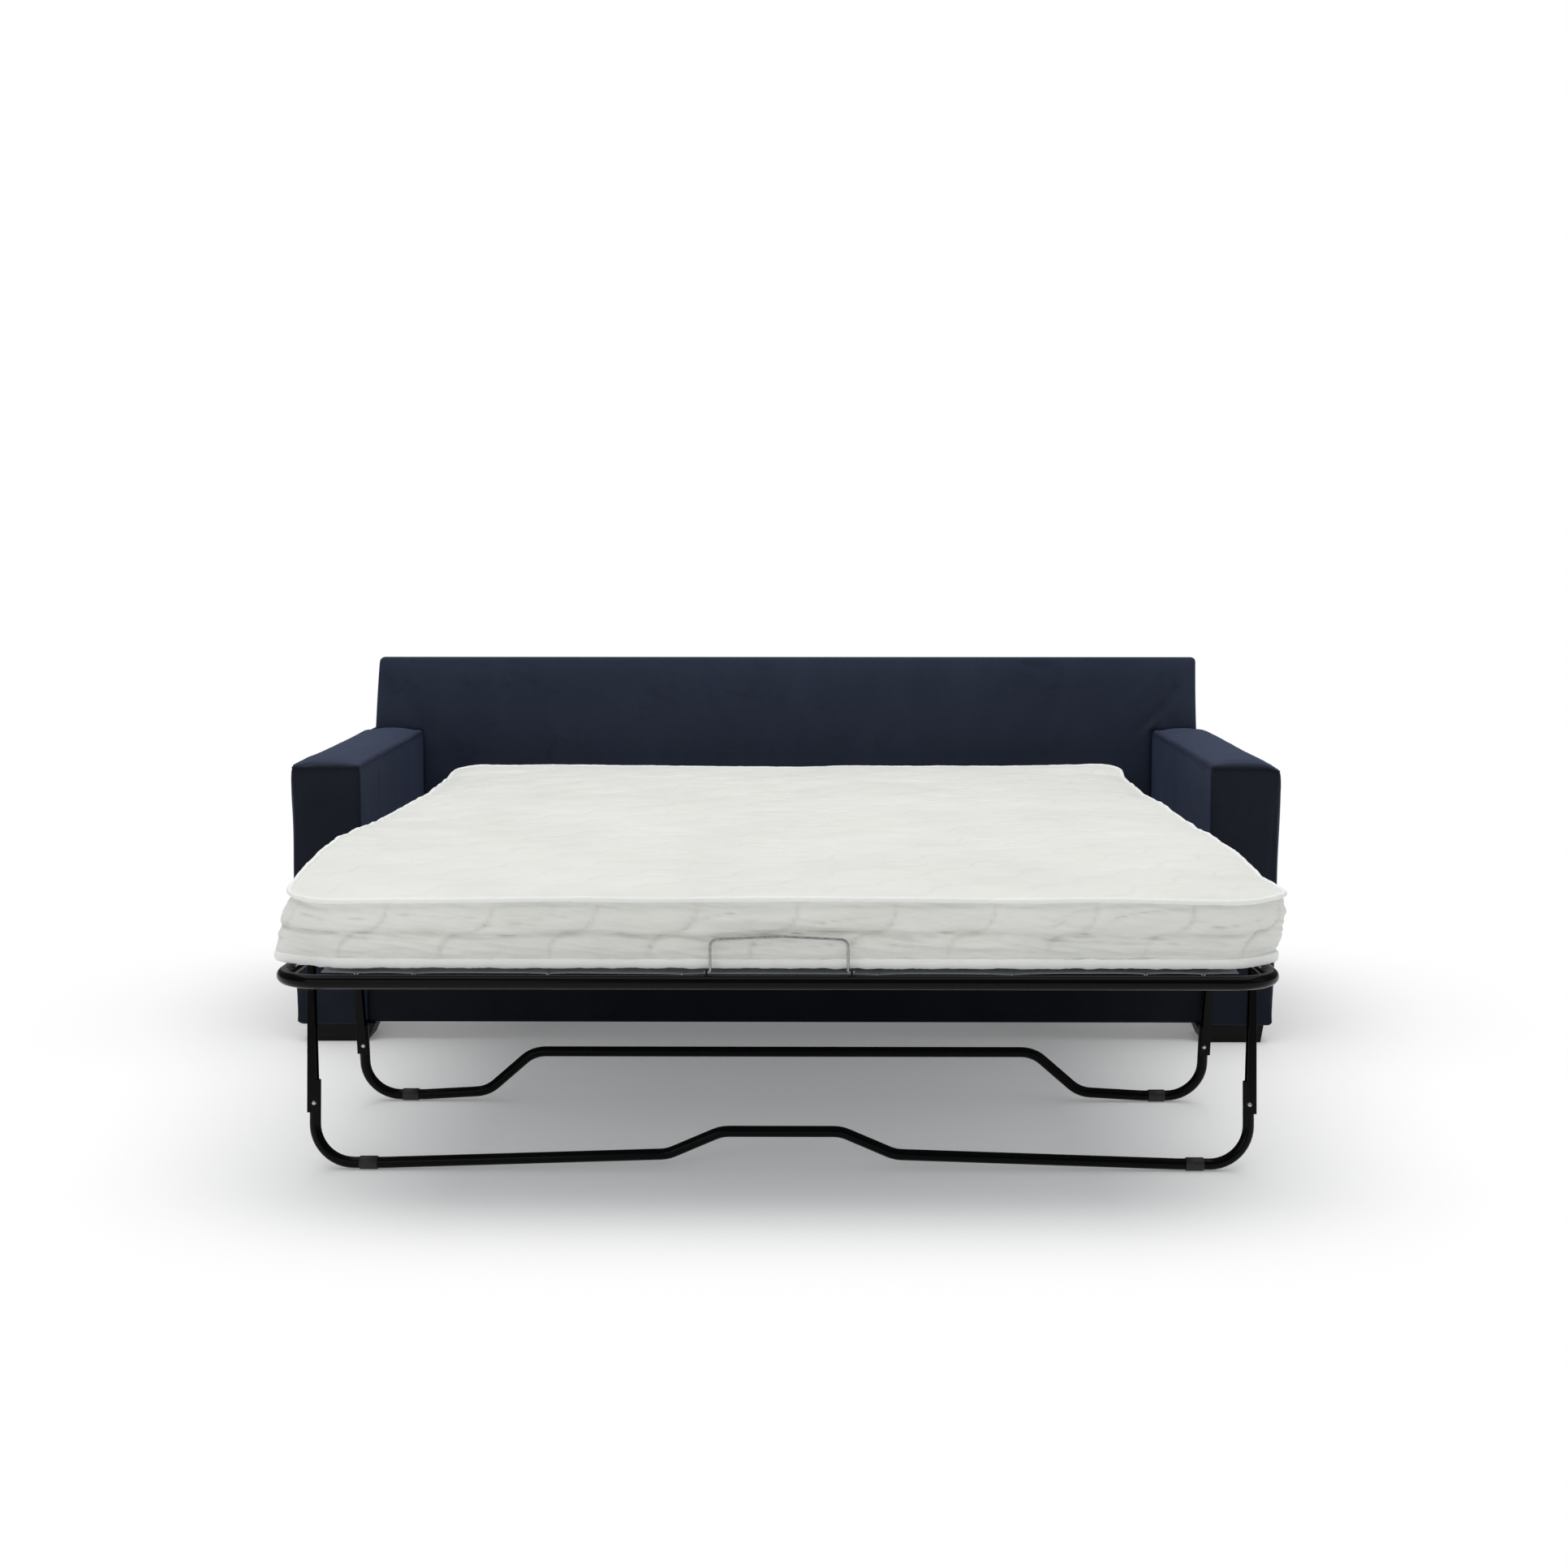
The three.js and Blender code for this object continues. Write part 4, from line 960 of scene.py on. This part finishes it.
def deck(which, y0, y1, end_hooks):
    body = f"{which}_section"
    count = max(2, round((y1 - y0) / 0.110))
    hooks_y = [y0 + (i + 0.5) * (y1 - y0) / count for i in range(count)]
    hooks_x = [s * x for x in (0.147, 0.350, 0.553, 0.640) for s in (-1, 1)] if end_hooks else []
    nx, ny = 140, max(12, round((y1 - y0) / 0.010))
    X, Y = np.meshgrid(np.linspace(-DECK_HALF, DECK_HALF, nx + 1), np.linspace(y0, y1, ny + 1), indexing="ij")
    pull = sum(bell(Y, hy, 0.020) for hy in hooks_y)
    pinch = (1 - unit(pull)) * 0.006 * (np.abs(X) / DECK_HALF) ** 24
    x2 = X - np.sign(X) * pinch
    y2 = Y
    edge, inward, rail_y = (y0, 1, FOOT_END + .0115) if end_hooks < 0 else (y1, -1, HEAD_END - .0115)
    if end_hooks:
        pull_x = sum(bell(X, hx, 0.022) for hx in hooks_x)
        near = unit(1 - np.abs(Y - edge) / 0.06) ** 3
        y2 = Y + inward * near * (1 - unit(pull_x)) * 0.006
    sag = -0.0015 * hump((X / DECK_HALF + 1) / 2) ** 2 + 0.0006 * table_noise(X * 9, Y * 14, 41)
    z = DECK_Z + 0.0005 + np.minimum(sag, 0.0008)
    hem = 0.0008 * ((np.abs(X) > DECK_HALF - 0.022) | (Y < y0 + 0.018) | (Y > y1 - 0.018))
    points = np.stack([x2, y2, z + hem], -1).reshape(-1, 3)
    faces = quads(np.arange(X.size).reshape(X.shape))
    cloth = make(f"{which}_deck_cloth", Shell().add((points, faces)), DECK)
    thick = cloth.modifiers.new("thickness", "SOLIDIFY")
    thick.thickness, thick.offset = 0.0014, 0
    placed(cloth, body, f"{which}_deck")
    sh = Shell()
    for hy in hooks_y:
        for s in (-1, 1):
            a, top = DECK_HALF - 0.010, HINGE_Z + 0.0088
            b = (foot_rail_x(hy, s) if which == "foot" else RAIL_X) - 0.0115
            wire = [(a - .004, DECK_Z - .0030), (a, DECK_Z + .0022), (b - .004, top + .0012),
                    (b + .004, top - .0040)]
            sh.add(hook([(s * x, hy, z) for x, z in wire]))
    for hx in hooks_x:
        e, w = edge + inward * .010, inward * .004
        sh.add(hook([(hx, e + w, DECK_Z - .003), (hx, e, DECK_Z + .0022),
                     (hx, rail_y + w, HINGE_Z + .0100), (hx, rail_y - w, HINGE_Z + .0048)]))
    hooks = placed(make(f"{which}_deck_hooks", sh, ZINC), body)


deck("foot", FOOT_END + 0.023, K_Y - END_GAP, -1)
deck("knee", K_Y + END_GAP, P_Y - END_GAP, 0)
deck("body", P_Y + END_GAP, A_Y - END_GAP, 0)
deck("head", A_Y + END_GAP, HEAD_END - 0.042, 1)

# ---------------------------------------------------------------- mattress
M_LO, M_HI = BOX["mattress_foot"][0], BOX["mattress_head"][1]
M_FOOT, M_HEAD, M_LOW = M_LO[1], M_HI[1], M_LO[2] + 0.0005
FOOT_CORNER, HEAD_CORNER = 0.090, 0.066
NX, NY, LEVELS = 300, 262, 34
CUT_KNEE, CUT_BODY = (K_Y + P_Y) / 2, (P_Y + A_Y) / 2
TAPE_R, LOW_TAPE_HALF, LOW_TAPE_TOP = 0.0043, 0.0078, 0.0155
# the border's ends, below the top tape's line and above the mattress's underside
BORDER_FROM, BORDER_TO = 0.0020, 0.0085
FOLD_Z, ROLL_TOP = 0.0375, 0.082      # the border's fold and the top of the roll over it, above the bottom tape
CROWN, PUFF, CREASE = 0.0075, 0.0013, 0.0042
FOLD_IN, DRAG_IN, DRAG2_IN = 0.0056, 0.0052, 0.0036
BAIL_IN = 0.0036                      # how far the bail presses the border in
ARC = 0.038        # radius of the quilting arcs


def at_row(y):
    """A height of the mattress edge, given at places measured from the arm fronts, at row places."""
    return np.asarray(y) - SHIFT


def half_width(y, side):
    t = at_row(y)
    wide = np.interp(t, [-1.262, -1.05, -0.80, -0.50, -0.20, 0.0, 0.56],
                     [0.747, 0.756, 0.761, 0.758, 0.754, 0.753, 0.752])
    wide = wide + (0.004 + 0.016 * bell(t, -1.19, 0.060) if side > 0 else 0.0)
    return wide + 0.0018 * table_noise(np.asarray(y) * 9, side * 3.3, 51)


def edge_height(x, y):
    """Height of the top binding tape's line above the floor, carried across the panel."""
    t = at_row(y)
    left = np.interp(t, [-1.262, -1.19, -1.086, -0.942, -0.77, -0.568, -0.365, 0.142, 0.415, 0.56],
                     [.508, .516, .526, .532, .535, .526, .517, .505, .507, .521])
    right = np.interp(t, [-1.262, -1.136, -1.052, -0.914, -0.75, -0.491, -0.084, 0.14, 0.45, 0.56],
                      [.510, .517, .518, .521, .520, .514, .511, .503, .505, .526])
    k = unit((x / 0.75 + 1) / 2)
    side = left * (1 - k) + right * k
    flat = 0.5120 + 0.004 * bell(t, -0.86, 0.18) + 0.006 * bell(t, 0.56, 0.14)
    w = unit(np.abs(x) / 0.75) ** 5
    ripple = 0.0022 * table_noise(x * 6.0 + 3, np.asarray(y) * 7.0, 52)
    ripple = ripple + 0.0014 * w * table_noise(x * 3, np.asarray(y) * 27.0, 53)
    flat = flat - 0.003 * bell(t, 0.56, 0.2) * bell(x, 0.15, 0.45)
    front = bell(t, -1.262, 0.09) * 0.0035 * bell(x, 0.05, 0.42)
    return flat * (1 - w) + side * w + ripple + front


def quilt_distance(a, b):
    """Distance to the nearest quilting line: a family of S waves made of quarter circles."""
    r = ARC
    m0 = np.floor(b / (2 * r))
    da = a - (2 * r * m0 + r)
    da = da - 4 * r * np.ceil(da / (4 * r))            # to (-4r, 0]
    d1 = np.abs(np.hypot(da, b - 2 * r * m0) - r)
    m1 = m0 + 1
    db = a - (2 * r * m1 - r)
    db = db - 4 * r * np.floor(db / (4 * r))           # to [0, 4r)
    d2 = np.abs(np.hypot(db, b - 2 * r * m1) - r)
    return np.minimum(d1, d2)


def pillow(d, reach, height):
    t = unit(d / reach)
    return height * np.sqrt(unit(1 - (1 - t) ** 2))


def rounded_plan(u, y):
    """Plan place of grid point u in -1..1 across, y along: the four corners turned to quarter rounds."""
    w = np.where(u < 0, half_width(y, -1), half_width(y, 1))
    x = u * w
    r = np.where(y < P_Y, FOOT_CORNER, HEAD_CORNER)
    near_x = unit((np.abs(x) - (w - r)) / r)
    near_lo = unit(((M_FOOT + r) - y) / r) * (y < P_Y)
    near_hi = unit((y - (M_HEAD - r)) / r) * (y >= P_Y)
    ny_ = np.maximum(near_lo, near_hi)
    both_ = (near_x > 0) & (ny_ > 0)
    x2 = np.where(both_, np.sign(x) * (w - r + r * near_x * np.sqrt(1 - ny_ ** 2 / 2)), x)
    turn = r * ny_ * np.sqrt(1 - near_x ** 2 / 2)
    y2 = np.where(both_ & (near_lo > 0), M_FOOT + r - turn, y)
    y2 = np.where(both_ & (near_hi > 0), M_HEAD - r + turn, y2)
    return x2, y2


def grade(lo, hi, n, fine):
    """n+1 places from lo to hi, closer together towards both ends."""
    t = np.linspace(-1, 1, n + 1)
    t = (1 - fine) * t + fine * np.sin(t * math.pi / 2)
    return lo + (hi - lo) * (t + 1) / 2


def top_panel(X, Y):
    """The top tape's line carried across the panel, the panel's height, and how strongly stitching shows."""
    ex = edge_height(X, Y)
    gap = np.minimum(np.minimum(X + np.abs(half_width(Y, -1)), half_width(Y, 1) - X),
                     np.minimum(Y - M_FOOT, M_HEAD - Y))
    cd = np.full(X.shape, 9.0)
    for sx in (-1, 1):
        for y_end, sy, r in ((M_FOOT, 1, FOOT_CORNER), (M_HEAD, -1, HEAD_CORNER)):
            cx, cy = sx * (half_width(np.array(y_end), sx) - r), y_end + sy * r
            inside = (sx * (X - cx) > 0) & (sy * (Y - cy) < 0)
            cd = np.where(inside, r - np.hypot(X - cx, Y - cy), cd)
    gap = np.clip(np.minimum(gap, np.where(cd < 9, cd, 9)), 0, None)
    qd = quilt_distance(X + 0.07, Y - M_FOOT + 0.4)
    edge_in = 1 - np.exp(-gap / 0.016)
    crown = CROWN * (1 - np.exp(-gap / 0.040)) + 0.0012 * hump(gap / 0.5)
    puffs = pillow(qd, 0.030, PUFF) * edge_in
    creases = -CREASE * unit(table_noise(X * 10, Y * 48, 61) - 0.36)
    soft = 0.0012 * table_noise(X * 13, Y * 21, 62) + 0.0005 * table_noise(X * 38, Y * 70, 63)
    Z = ex + crown + puffs + (creases + soft) * edge_in
    # the filling pushes the panel up between the lines of stitching
    sub = np.stack([X[::2, ::2], Y[::2, ::2], Z[::2, ::2]], -1).reshape(-1, 3)
    sub_held = np.maximum(bell(qd, 0, 0.0065), 1 - ease(gap, 0.006, 0.030))[::2, ::2].ravel()
    sub_ids = np.arange(len(sub)).reshape(X[::2, ::2].shape)
    rise = (settled(sub, quads(sub_ids), sub_held, *PANEL_FILLING) - sub)[:, 2].reshape(sub_ids.shape)
    lift = np.zeros(X.shape)
    lift[::2, ::2] = rise
    lift[1::2, ::2] = (rise[:-1] + rise[1:]) / 2
    lift[:, 1::2] = (lift[:, :-1:2] + lift[:, 2::2]) / 2
    faint = unit(0.7 + table_noise(X * 16, Y * 16, 64))
    return ex, Z + lift, 0.5 * bell(qd, 0, 0.0026) * edge_in * faint


def border(te, arc, out, bx, by):
    """The border at each level from the top tape, at height te, down to the bottom tape: how far it stands out,
    its height, how far the bottom tape stands out, and how strongly stitching and the painted shade along its
    fold show."""
    k = np.linspace(0, 1, LEVELS + 1)[None, :]
    z_hi = (te - BORDER_FROM)[:, None]
    side_z = z_hi + (M_LOW + BORDER_TO - z_hi) * k
    rel = side_z - (M_LOW + LOW_TAPE_TOP)
    A = arc[:, None]
    end_face = ease(np.abs(out[:, 1]), 0.2, 0.9)[:, None]
    shear = 0.010 * table_noise(A * 3.1, rel * 0, 71)
    wavy = 0.0035 * table_noise(A * 8, rel * 20, 72)
    border_q = quilt_distance(A + 0.053 + wavy + shear, rel * (2 * ARC / 0.079))
    quilted = 0.80 + 0.7 * table_noise(A * 2.2 + 1, rel * 9, 94) + 0.25 * ease(A, -0.3, 0.4)
    quilted = np.clip(quilted, 0.25, 1.15)
    fold_z = FOLD_Z + 0.0045 * table_noise(A * 7.0, A * 0, 73) + 0.003 * table_noise(A * 19.0, A * 0, 74)
    fold_in = (0.6 + 0.4 * table_noise(A * 5.0, A * 0 + 2, 75)) * (0.35 + 0.65 * end_face)
    roll = hump((rel - fold_z) / (ROLL_TOP - fold_z)) ** 0.8 * (0.0050 + 0.0020 * end_face)
    roll = roll + hump(rel / fold_z) ** 0.9 * 0.0030
    fold = -FOLD_IN * fold_in * bell(rel - fold_z, 0, 0.0026)
    fold = fold + 0.0030 * fold_in * bell(rel - fold_z - 0.007, 0, 0.006)
    # short slanting drag wrinkles, in patches
    patch = unit(table_noise(A * 3.5, rel * 14, 91) + 0.30)
    drag = unit(1 - 3.4 * np.abs(table_noise(A * 8.0 + 5, rel * 78 + A * 5, 92)))
    drag2 = unit(1 - 3.0 * np.abs(table_noise(A * 13.0, rel * 55 - A * 8, 93)))
    fold = fold - DRAG_IN * patch * drag ** 1.3 - DRAG2_IN * unit(0.9 - patch) * drag2 ** 1.5
    # the bottom edge stands out along the sides and draws in under the foot end
    left_lean, right_lean = (np.interp(at_row(by), [-1.20, -0.80, -0.40, 0.56], [first, second, 0.0050, 0.0040])
                             for first, second in ((0.0230, 0.0120), (-0.0090, 0.0040)))
    side_lean = np.where(bx < 0, left_lean, right_lean)
    lean = side_lean * (1 - end_face[:, 0]) + end_face[:, 0] * np.where(out[:, 1] < 0, -0.0080, 0.0)
    slope = lean[:, None] * (1 - unit(rel / 0.085))
    tension = 0.0017 * table_noise(A * 42 + rel * 260, rel * 60 - A * 9, 76)
    tension = tension + 0.0011 * table_noise(A * 16 - rel * 150, rel * 48, 77)
    held = hump(k) ** 0.45
    # pressed in behind the bail
    by_bail = BAIL_IN * bell(A, 0, 0.150) * ease(rel, 0.002, 0.022) * (1 - ease(rel, 0.044, 0.064))
    by_bail = by_bail * end_face * (out[:, 1:] < 0)
    quilting = pillow(border_q, 0.012, 0.0038) * quilted
    push = -0.0015 + slope - by_bail + held * (roll + fold + quilting + tension)
    stitch_and_fold_shade_side = 0.8 * quilted * bell(border_q, 0, 0.0031) * held
    # painted shade along the border's fold crease, darkened through the same attribute as the stitching
    stitch_and_fold_shade_side = stitch_and_fold_shade_side + 0.40 * bell(rel - fold_z, 0, 0.003) * held
    return push, side_z, lean, unit(stitch_and_fold_shade_side)


def tape_rings(line, profile, out, arc, seed):
    """Rings of points along a tape, whose profile is (outward, up) pairs, of a slightly uneven size."""
    size = 1 + 0.10 * table_noise(arc * 60, arc * 0, seed)
    size = size + 0.06 * table_noise(arc * 190, arc * 0, seed + 5)
    rings = np.zeros((len(arc), len(profile), 3))
    for m, (a, b) in enumerate(profile):
        rings[:, m] = line + np.stack([out[:, 0] * a * size, out[:, 1] * a * size, b * size], 1)
    return rings


def mattress():
    us = grade(-1, 1, NX, 0.15)
    ys = grade(M_FOOT, M_HEAD, NY, 0.15)
    j_knee, j_body = int(np.argmin(np.abs(ys - CUT_KNEE))), int(np.argmin(np.abs(ys - CUT_BODY)))
    ys[j_knee], ys[j_body] = CUT_KNEE, CUT_BODY
    U, Y = np.meshgrid(us, ys, indexing="ij")
    X, Y = rounded_plan(U, Y)
    # rows of the boundary, in order round the mattress
    loop = [(0, j) for j in range(NY, -1, -1)] + [(i, 0) for i in range(1, NX + 1)]
    loop += [(NX, j) for j in range(1, NY + 1)] + [(i, NY) for i in range(NX - 1, 0, -1)]
    li, lj = np.array(loop).T
    bx, by = X[li, lj], Y[li, lj]
    n_loop = len(loop)
    step = np.stack([np.roll(bx, -1) - np.roll(bx, 1), np.roll(by, -1) - np.roll(by, 1)], 1)
    for _ in range(6):                                  # even out the turn at the corners
        step = (np.roll(step, 1, 0) + 2 * step + np.roll(step, -1, 0)) / 4
    step /= np.linalg.norm(step, axis=1)[:, None]
    out = np.stack([step[:, 1], -step[:, 0]], 1)
    seg = np.hypot(np.roll(bx, -1) - bx, np.roll(by, -1) - by)
    arc = np.concatenate([[0], np.cumsum(seg)[:-1]])
    arc = arc - arc[np.argmin(np.abs(li - NX / 2) + lj)]    # measured from the middle of the foot end
    ex, Z, lines_top = top_panel(X, Y)
    te = ex[li, lj]
    push, side_z, lean, stitch_and_fold_shade_side = border(te, arc, out, bx, by)
    # gather everything into one closed form
    n_top = X.size
    top_id = np.arange(n_top).reshape(X.shape)
    side_id = np.zeros((n_loop, LEVELS + 1), int)
    side_id[:, 0] = top_id[li, lj]
    side_id[:, 1:] = n_top + np.arange(n_loop * LEVELS).reshape(n_loop, LEVELS)
    sx_ = (bx[:, None] + out[:, :1] * push)[:, 1:]
    sy_ = (by[:, None] + out[:, 1:] * push)[:, 1:]
    sz_ = side_z[:, 1:].copy()
    sz_[:, -1] = M_LOW
    sx_[:, -1] = bx + out[:, 0] * (lean - 0.006)
    sy_[:, -1] = by + out[:, 1] * (lean - 0.006)
    # a straight cut plane at the two splits
    for j in (j_knee, j_body):
        for i in (0, NX):
            q = np.nonzero((li == i) & (lj == j))[0][0]
            sy_[q, :] = ys[j]
    V = np.vstack([np.stack(part, -1).reshape(-1, 3) for part in ((X, Y, Z), (sx_, sy_, sz_))])
    # per vertex: how strongly stitching shows, with painted shade along the border's fold
    lines = np.concatenate([lines_top.ravel(), stitch_and_fold_shade_side[:, 1:].ravel()])
    # faces, and the row along the mattress that each lies in
    nxt = np.roll(np.arange(n_loop), -1)
    sides = np.stack([side_id[:, :-1], side_id[:, 1:], side_id[nxt, 1:], side_id[nxt, :-1]], -1)
    faces = np.vstack([quads(top_id), sides.reshape(-1, 4)])
    row = np.where(lj != lj[nxt], np.minimum(lj, lj[nxt]), np.where(lj == 0, 0, NY - 1))
    band = np.concatenate([np.tile(np.arange(NY), NX), np.repeat(row, LEVELS)])
    col = {(int(i), int(j)): n for n, (i, j) in enumerate(zip(li, lj))}
    under = []
    for j in range(NY):
        lo_a, lo_b = side_id[col[(0, j)], -1], side_id[col[(NX, j)], -1]
        hi_a, hi_b = side_id[col[(0, j + 1)], -1], side_id[col[(NX, j + 1)], -1]
        low_row = [side_id[col[(i, 0)], -1] for i in range(NX, -1, -1)] if j == 0 else [lo_b, lo_a]
        high_row = [side_id[col[(i, NY)], -1] for i in range(NX + 1)] if j == NY - 1 else [hi_a, hi_b]
        under.append((j, [int(t) for t in low_row + high_row]))
    # smooth normals of the whole form, so that the three pieces meet without a line
    tri = np.vstack([faces[:, [0, 1, 2]], faces[:, [0, 2, 3]]])
    fn = np.cross(V[tri[:, 1]] - V[tri[:, 0]], V[tri[:, 2]] - V[tri[:, 0]])
    N = np.zeros_like(V)
    for c in range(3):
        np.add.at(N, tri[:, c], fn)
    N /= np.maximum(np.linalg.norm(N, axis=1), 1e-12)[:, None]
    # binding tapes: a round bead at the top edge, a wider flat one at the bottom
    top_line = np.stack([bx + out[:, 0] * 0.0015, by + out[:, 1] * 0.0015, te - 0.0005], 1)
    low_line = np.stack([bx + out[:, 0] * (lean - 0.001), by + out[:, 1] * (lean - 0.001),
                         np.full(n_loop, M_LOW + LOW_TAPE_HALF)], 1)
    bead = [(TAPE_R * 0.95 * math.cos(t), TAPE_R * math.sin(t)) for t in np.linspace(0, 2 * math.pi, 13)[:-1]]
    flat = [(0.0052 * np.sign(math.cos(t)) * abs(math.cos(t)) ** 0.7,
             LOW_TAPE_HALF * np.sign(math.sin(t)) * abs(math.sin(t)) ** 0.6)
            for t in np.linspace(0, 2 * math.pi, 17)[:-1]]
    tapes = [tape_rings(top_line, bead, out, arc, 81), tape_rings(low_line, flat, out, arc, 82)]
    made = []
    for name, a, b in (("mattress_foot_end", 0, j_knee), ("mattress_middle", j_knee, j_body),
                       ("mattress_head_end", j_body, NY)):
        pick = (band >= a) & (band < b)
        fs = [tuple(int(t) for t in q) for q in faces[pick]]
        fs += [tuple(f) for j, f in under if a <= j < b]
        caps = []
        for j, flip in ((a, True), (b, False)):
            if j in (0, NY):
                continue
            left, right = side_id[col[(0, j)]], side_id[col[(NX, j)]]
            ring = [int(t) for t in (*top_id[:, j], *right[1:], *left[:0:-1])]
            caps.append(tuple(reversed(ring) if flip else ring))
        n_body = len(fs)
        fs += caps
        used = sorted({t for q in fs for t in q})
        back_to = {t: i for i, t in enumerate(used)}
        verts = [tuple(V[t]) for t in used]
        local = [tuple(back_to[t] for t in q) for q in fs]
        stitch_and_fold_shade_values = [float(lines[t]) for t in used]
        mats = [0] * len(local)
        for rings in tapes:
            sel = np.nonzero((lj >= a) & (lj <= b))[0]
            runs = np.split(sel, np.nonzero(np.diff(sel) > 1)[0] + 1)
            if len(runs) > 1 and runs[0][0] == 0 and runs[-1][-1] == n_loop - 1:
                runs = [np.concatenate([runs[-1], runs[0]])] + runs[1:-1]
            for run in runs:
                base, kk = len(verts), rings.shape[1]
                for t in run:
                    verts.extend(tuple(p) for p in rings[t])
                    stitch_and_fold_shade_values.extend([0.0] * kk)
                end = base + (len(run) - 1) * kk
                for here in range(base, end, kk):
                    for m in range(kk):
                        after = (m + 1) % kk
                        local.append((here + m, here + kk + m, here + kk + after, here + after))
                local += [tuple(reversed(range(base, base + kk))), tuple(range(end, end + kk))]
        mats += [1] * (len(local) - len(mats))
        mesh = bpy.data.meshes.new(name)
        mesh.from_pydata(verts, [], local)
        mesh.materials.append(TICKING)
        mesh.materials.append(TAPE)
        mesh.polygons.foreach_set("material_index", mats)
        mesh.polygons.foreach_set("use_smooth", [True] * len(mesh.polygons))
        number_points(mesh, "stitch_and_fold_shade", stitch_and_fold_shade_values)
        mesh.update()
        lv = np.zeros(len(mesh.loops), int)
        mesh.loops.foreach_get("vertex_index", lv)
        normals = np.array([tuple(n.vector) for n in mesh.vertex_normals])[lv]
        own = lv < len(used)
        normals[own] = N[used][lv[own]]
        for p in list(mesh.polygons)[n_body:n_body + len(caps)]:
            normals[p.loop_start:p.loop_start + p.loop_total] = tuple(p.normal)
        mesh.normals_split_custom_set([tuple(n) for n in normals])
        made.append(link(bpy.data.objects.new(name, mesh)))
    return made


foot_end, middle, head_end = mattress()
for obj, a, b, at_y, nodes in (
        (foot_end, "foot_section", "knee_section", K_Y, ("mattress_foot", "mattress_knee")),
        (middle, "knee_section", "body_section", P_Y, ("mattress_body",)),
        (head_end, "body_section", "head_section", A_Y, ("mattress_head",))):
    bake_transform(obj)
    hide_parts(*nodes)

# the rear rail is the one CAD node that still shows
for rail_slot in frame["nodes"]["rear_rail"].material_slots:
    rail_slot.material = PINE

# ---------------------------------------------------------------- floor, light, camera
WHITE = (1, 1, 1, 1)
fm, fnt = new_material("studio_floor")
fb = fnt.nodes["Principled BSDF"]
# the floor also glows a little, painted light that lifts its shadow
for name, value in (("Base Color", (0.88, 0.88, 0.88, 1)), ("Roughness", 0.9), ("Specular IOR Level", 0.0),
                    ("Emission Color", WHITE), ("Emission Strength", 0.16)):
    fb.inputs[name].default_value = value
# painted light: away from the middle the floor turns into a plain white glow a few metres away, which fades its
# shadow out
floor_at = add(fnt, "ShaderNodeSeparateXYZ", {0: add(fnt, "ShaderNodeTexCoord").outputs["Object"]}).outputs
fourth = [maths(fnt, "POWER", maths(fnt, "MULTIPLY", maths(fnt, "ABSOLUTE", floor_at[i]), scale), 4.0)
          for i, scale in ((0, 0.80), (1, 1.0))]
away = maths(fnt, "POWER", maths(fnt, "ADD", *fourth), 0.25)
white_glow = add(fnt, "ShaderNodeEmission", {"Color": WHITE, "Strength": 1.0}).outputs[0]
glow_share = span(fnt, away, 0.84, 1.48, 0.0, 1.0, "SMOOTHSTEP")
fade = add(fnt, "ShaderNodeMixShader", {0: glow_share, 1: fb.outputs[0], 2: white_glow}).outputs[0]
fnt.links.new(fade, fnt.nodes["Material Output"].inputs["Surface"])
FLOOR_HALF = 60
square = [(sx * FLOOR_HALF, sy * FLOOR_HALF, 0) for sx, sy in ((-1, -1), (1, -1), (1, 1), (-1, 1))]
make("studio_floor", Shell().add((square, [(0, 1, 2, 3)])), fm, recalc=False, smooth=False)

world = bpy.data.worlds.new("studio")
bpy.context.scene.world = world
world.use_nodes = True
wn = world.node_tree
wn.nodes.clear()
seen, lit, dim = (add(wn, "ShaderNodeBackground", {"Color": WHITE, "Strength": strength}).outputs[0]
                  for strength in (1.0, 0.50, 0.12))
rays = add(wn, "ShaderNodeLightPath").outputs
# gloss sees a darker room, so that black steel stays black
room = add(wn, "ShaderNodeMixShader", {0: rays["Is Glossy Ray"], 1: lit, 2: dim}).outputs[0]
room = add(wn, "ShaderNodeMixShader", {0: rays["Is Camera Ray"], 1: room, 2: seen}).outputs[0]
add(wn, "ShaderNodeOutputWorld", {0: room})


def softbox(name, place, aim, size, power):
    lamp = bpy.data.lights.new(name, "AREA")
    lamp.shape, lamp.size, lamp.size_y, lamp.energy = "RECTANGLE", size[0], size[1], power
    obj = link(bpy.data.objects.new(name, lamp))
    obj.location = place
    obj.rotation_euler = (Vector(aim) - Vector(place)).to_track_quat("-Z", "Y").to_euler()


softbox("overhead", (0, -0.3, 3.6), (0, 0.0, 0), (5.5, 4.5), 112)
softbox("front_fill", (-2.2, -5.0, 1.9), (0, 0, 0.4), (3.0, 2.0), 24)
softbox("side_fill", (3.8, -2.0, 2.2), (0, 0.2, 0.4), (2.0, 2.0), 6)

# the camera's place from the arms' front faces, the floor and the middle, and its turn in radians
CAM_AHEAD, CAM_HIGH, CAM_RIGHT = 4.60, 1.075, 0.032
CAM_DOWN, CAM_TURN = 0.1152, 0.0074
cam = bpy.data.cameras.new("camera")
cam.lens, cam.sensor_width = 51.84, 36.0
cam_obj = link(bpy.data.objects.new("camera", cam))
cam_obj.location = (CAM_RIGHT, SHIFT - CAM_AHEAD, CAM_HIGH)
cam_obj.rotation_euler = (math.pi / 2 - CAM_DOWN, 0, CAM_TURN)
bpy.context.scene.camera = cam_obj
bpy.context.scene.view_settings.view_transform = "Standard"
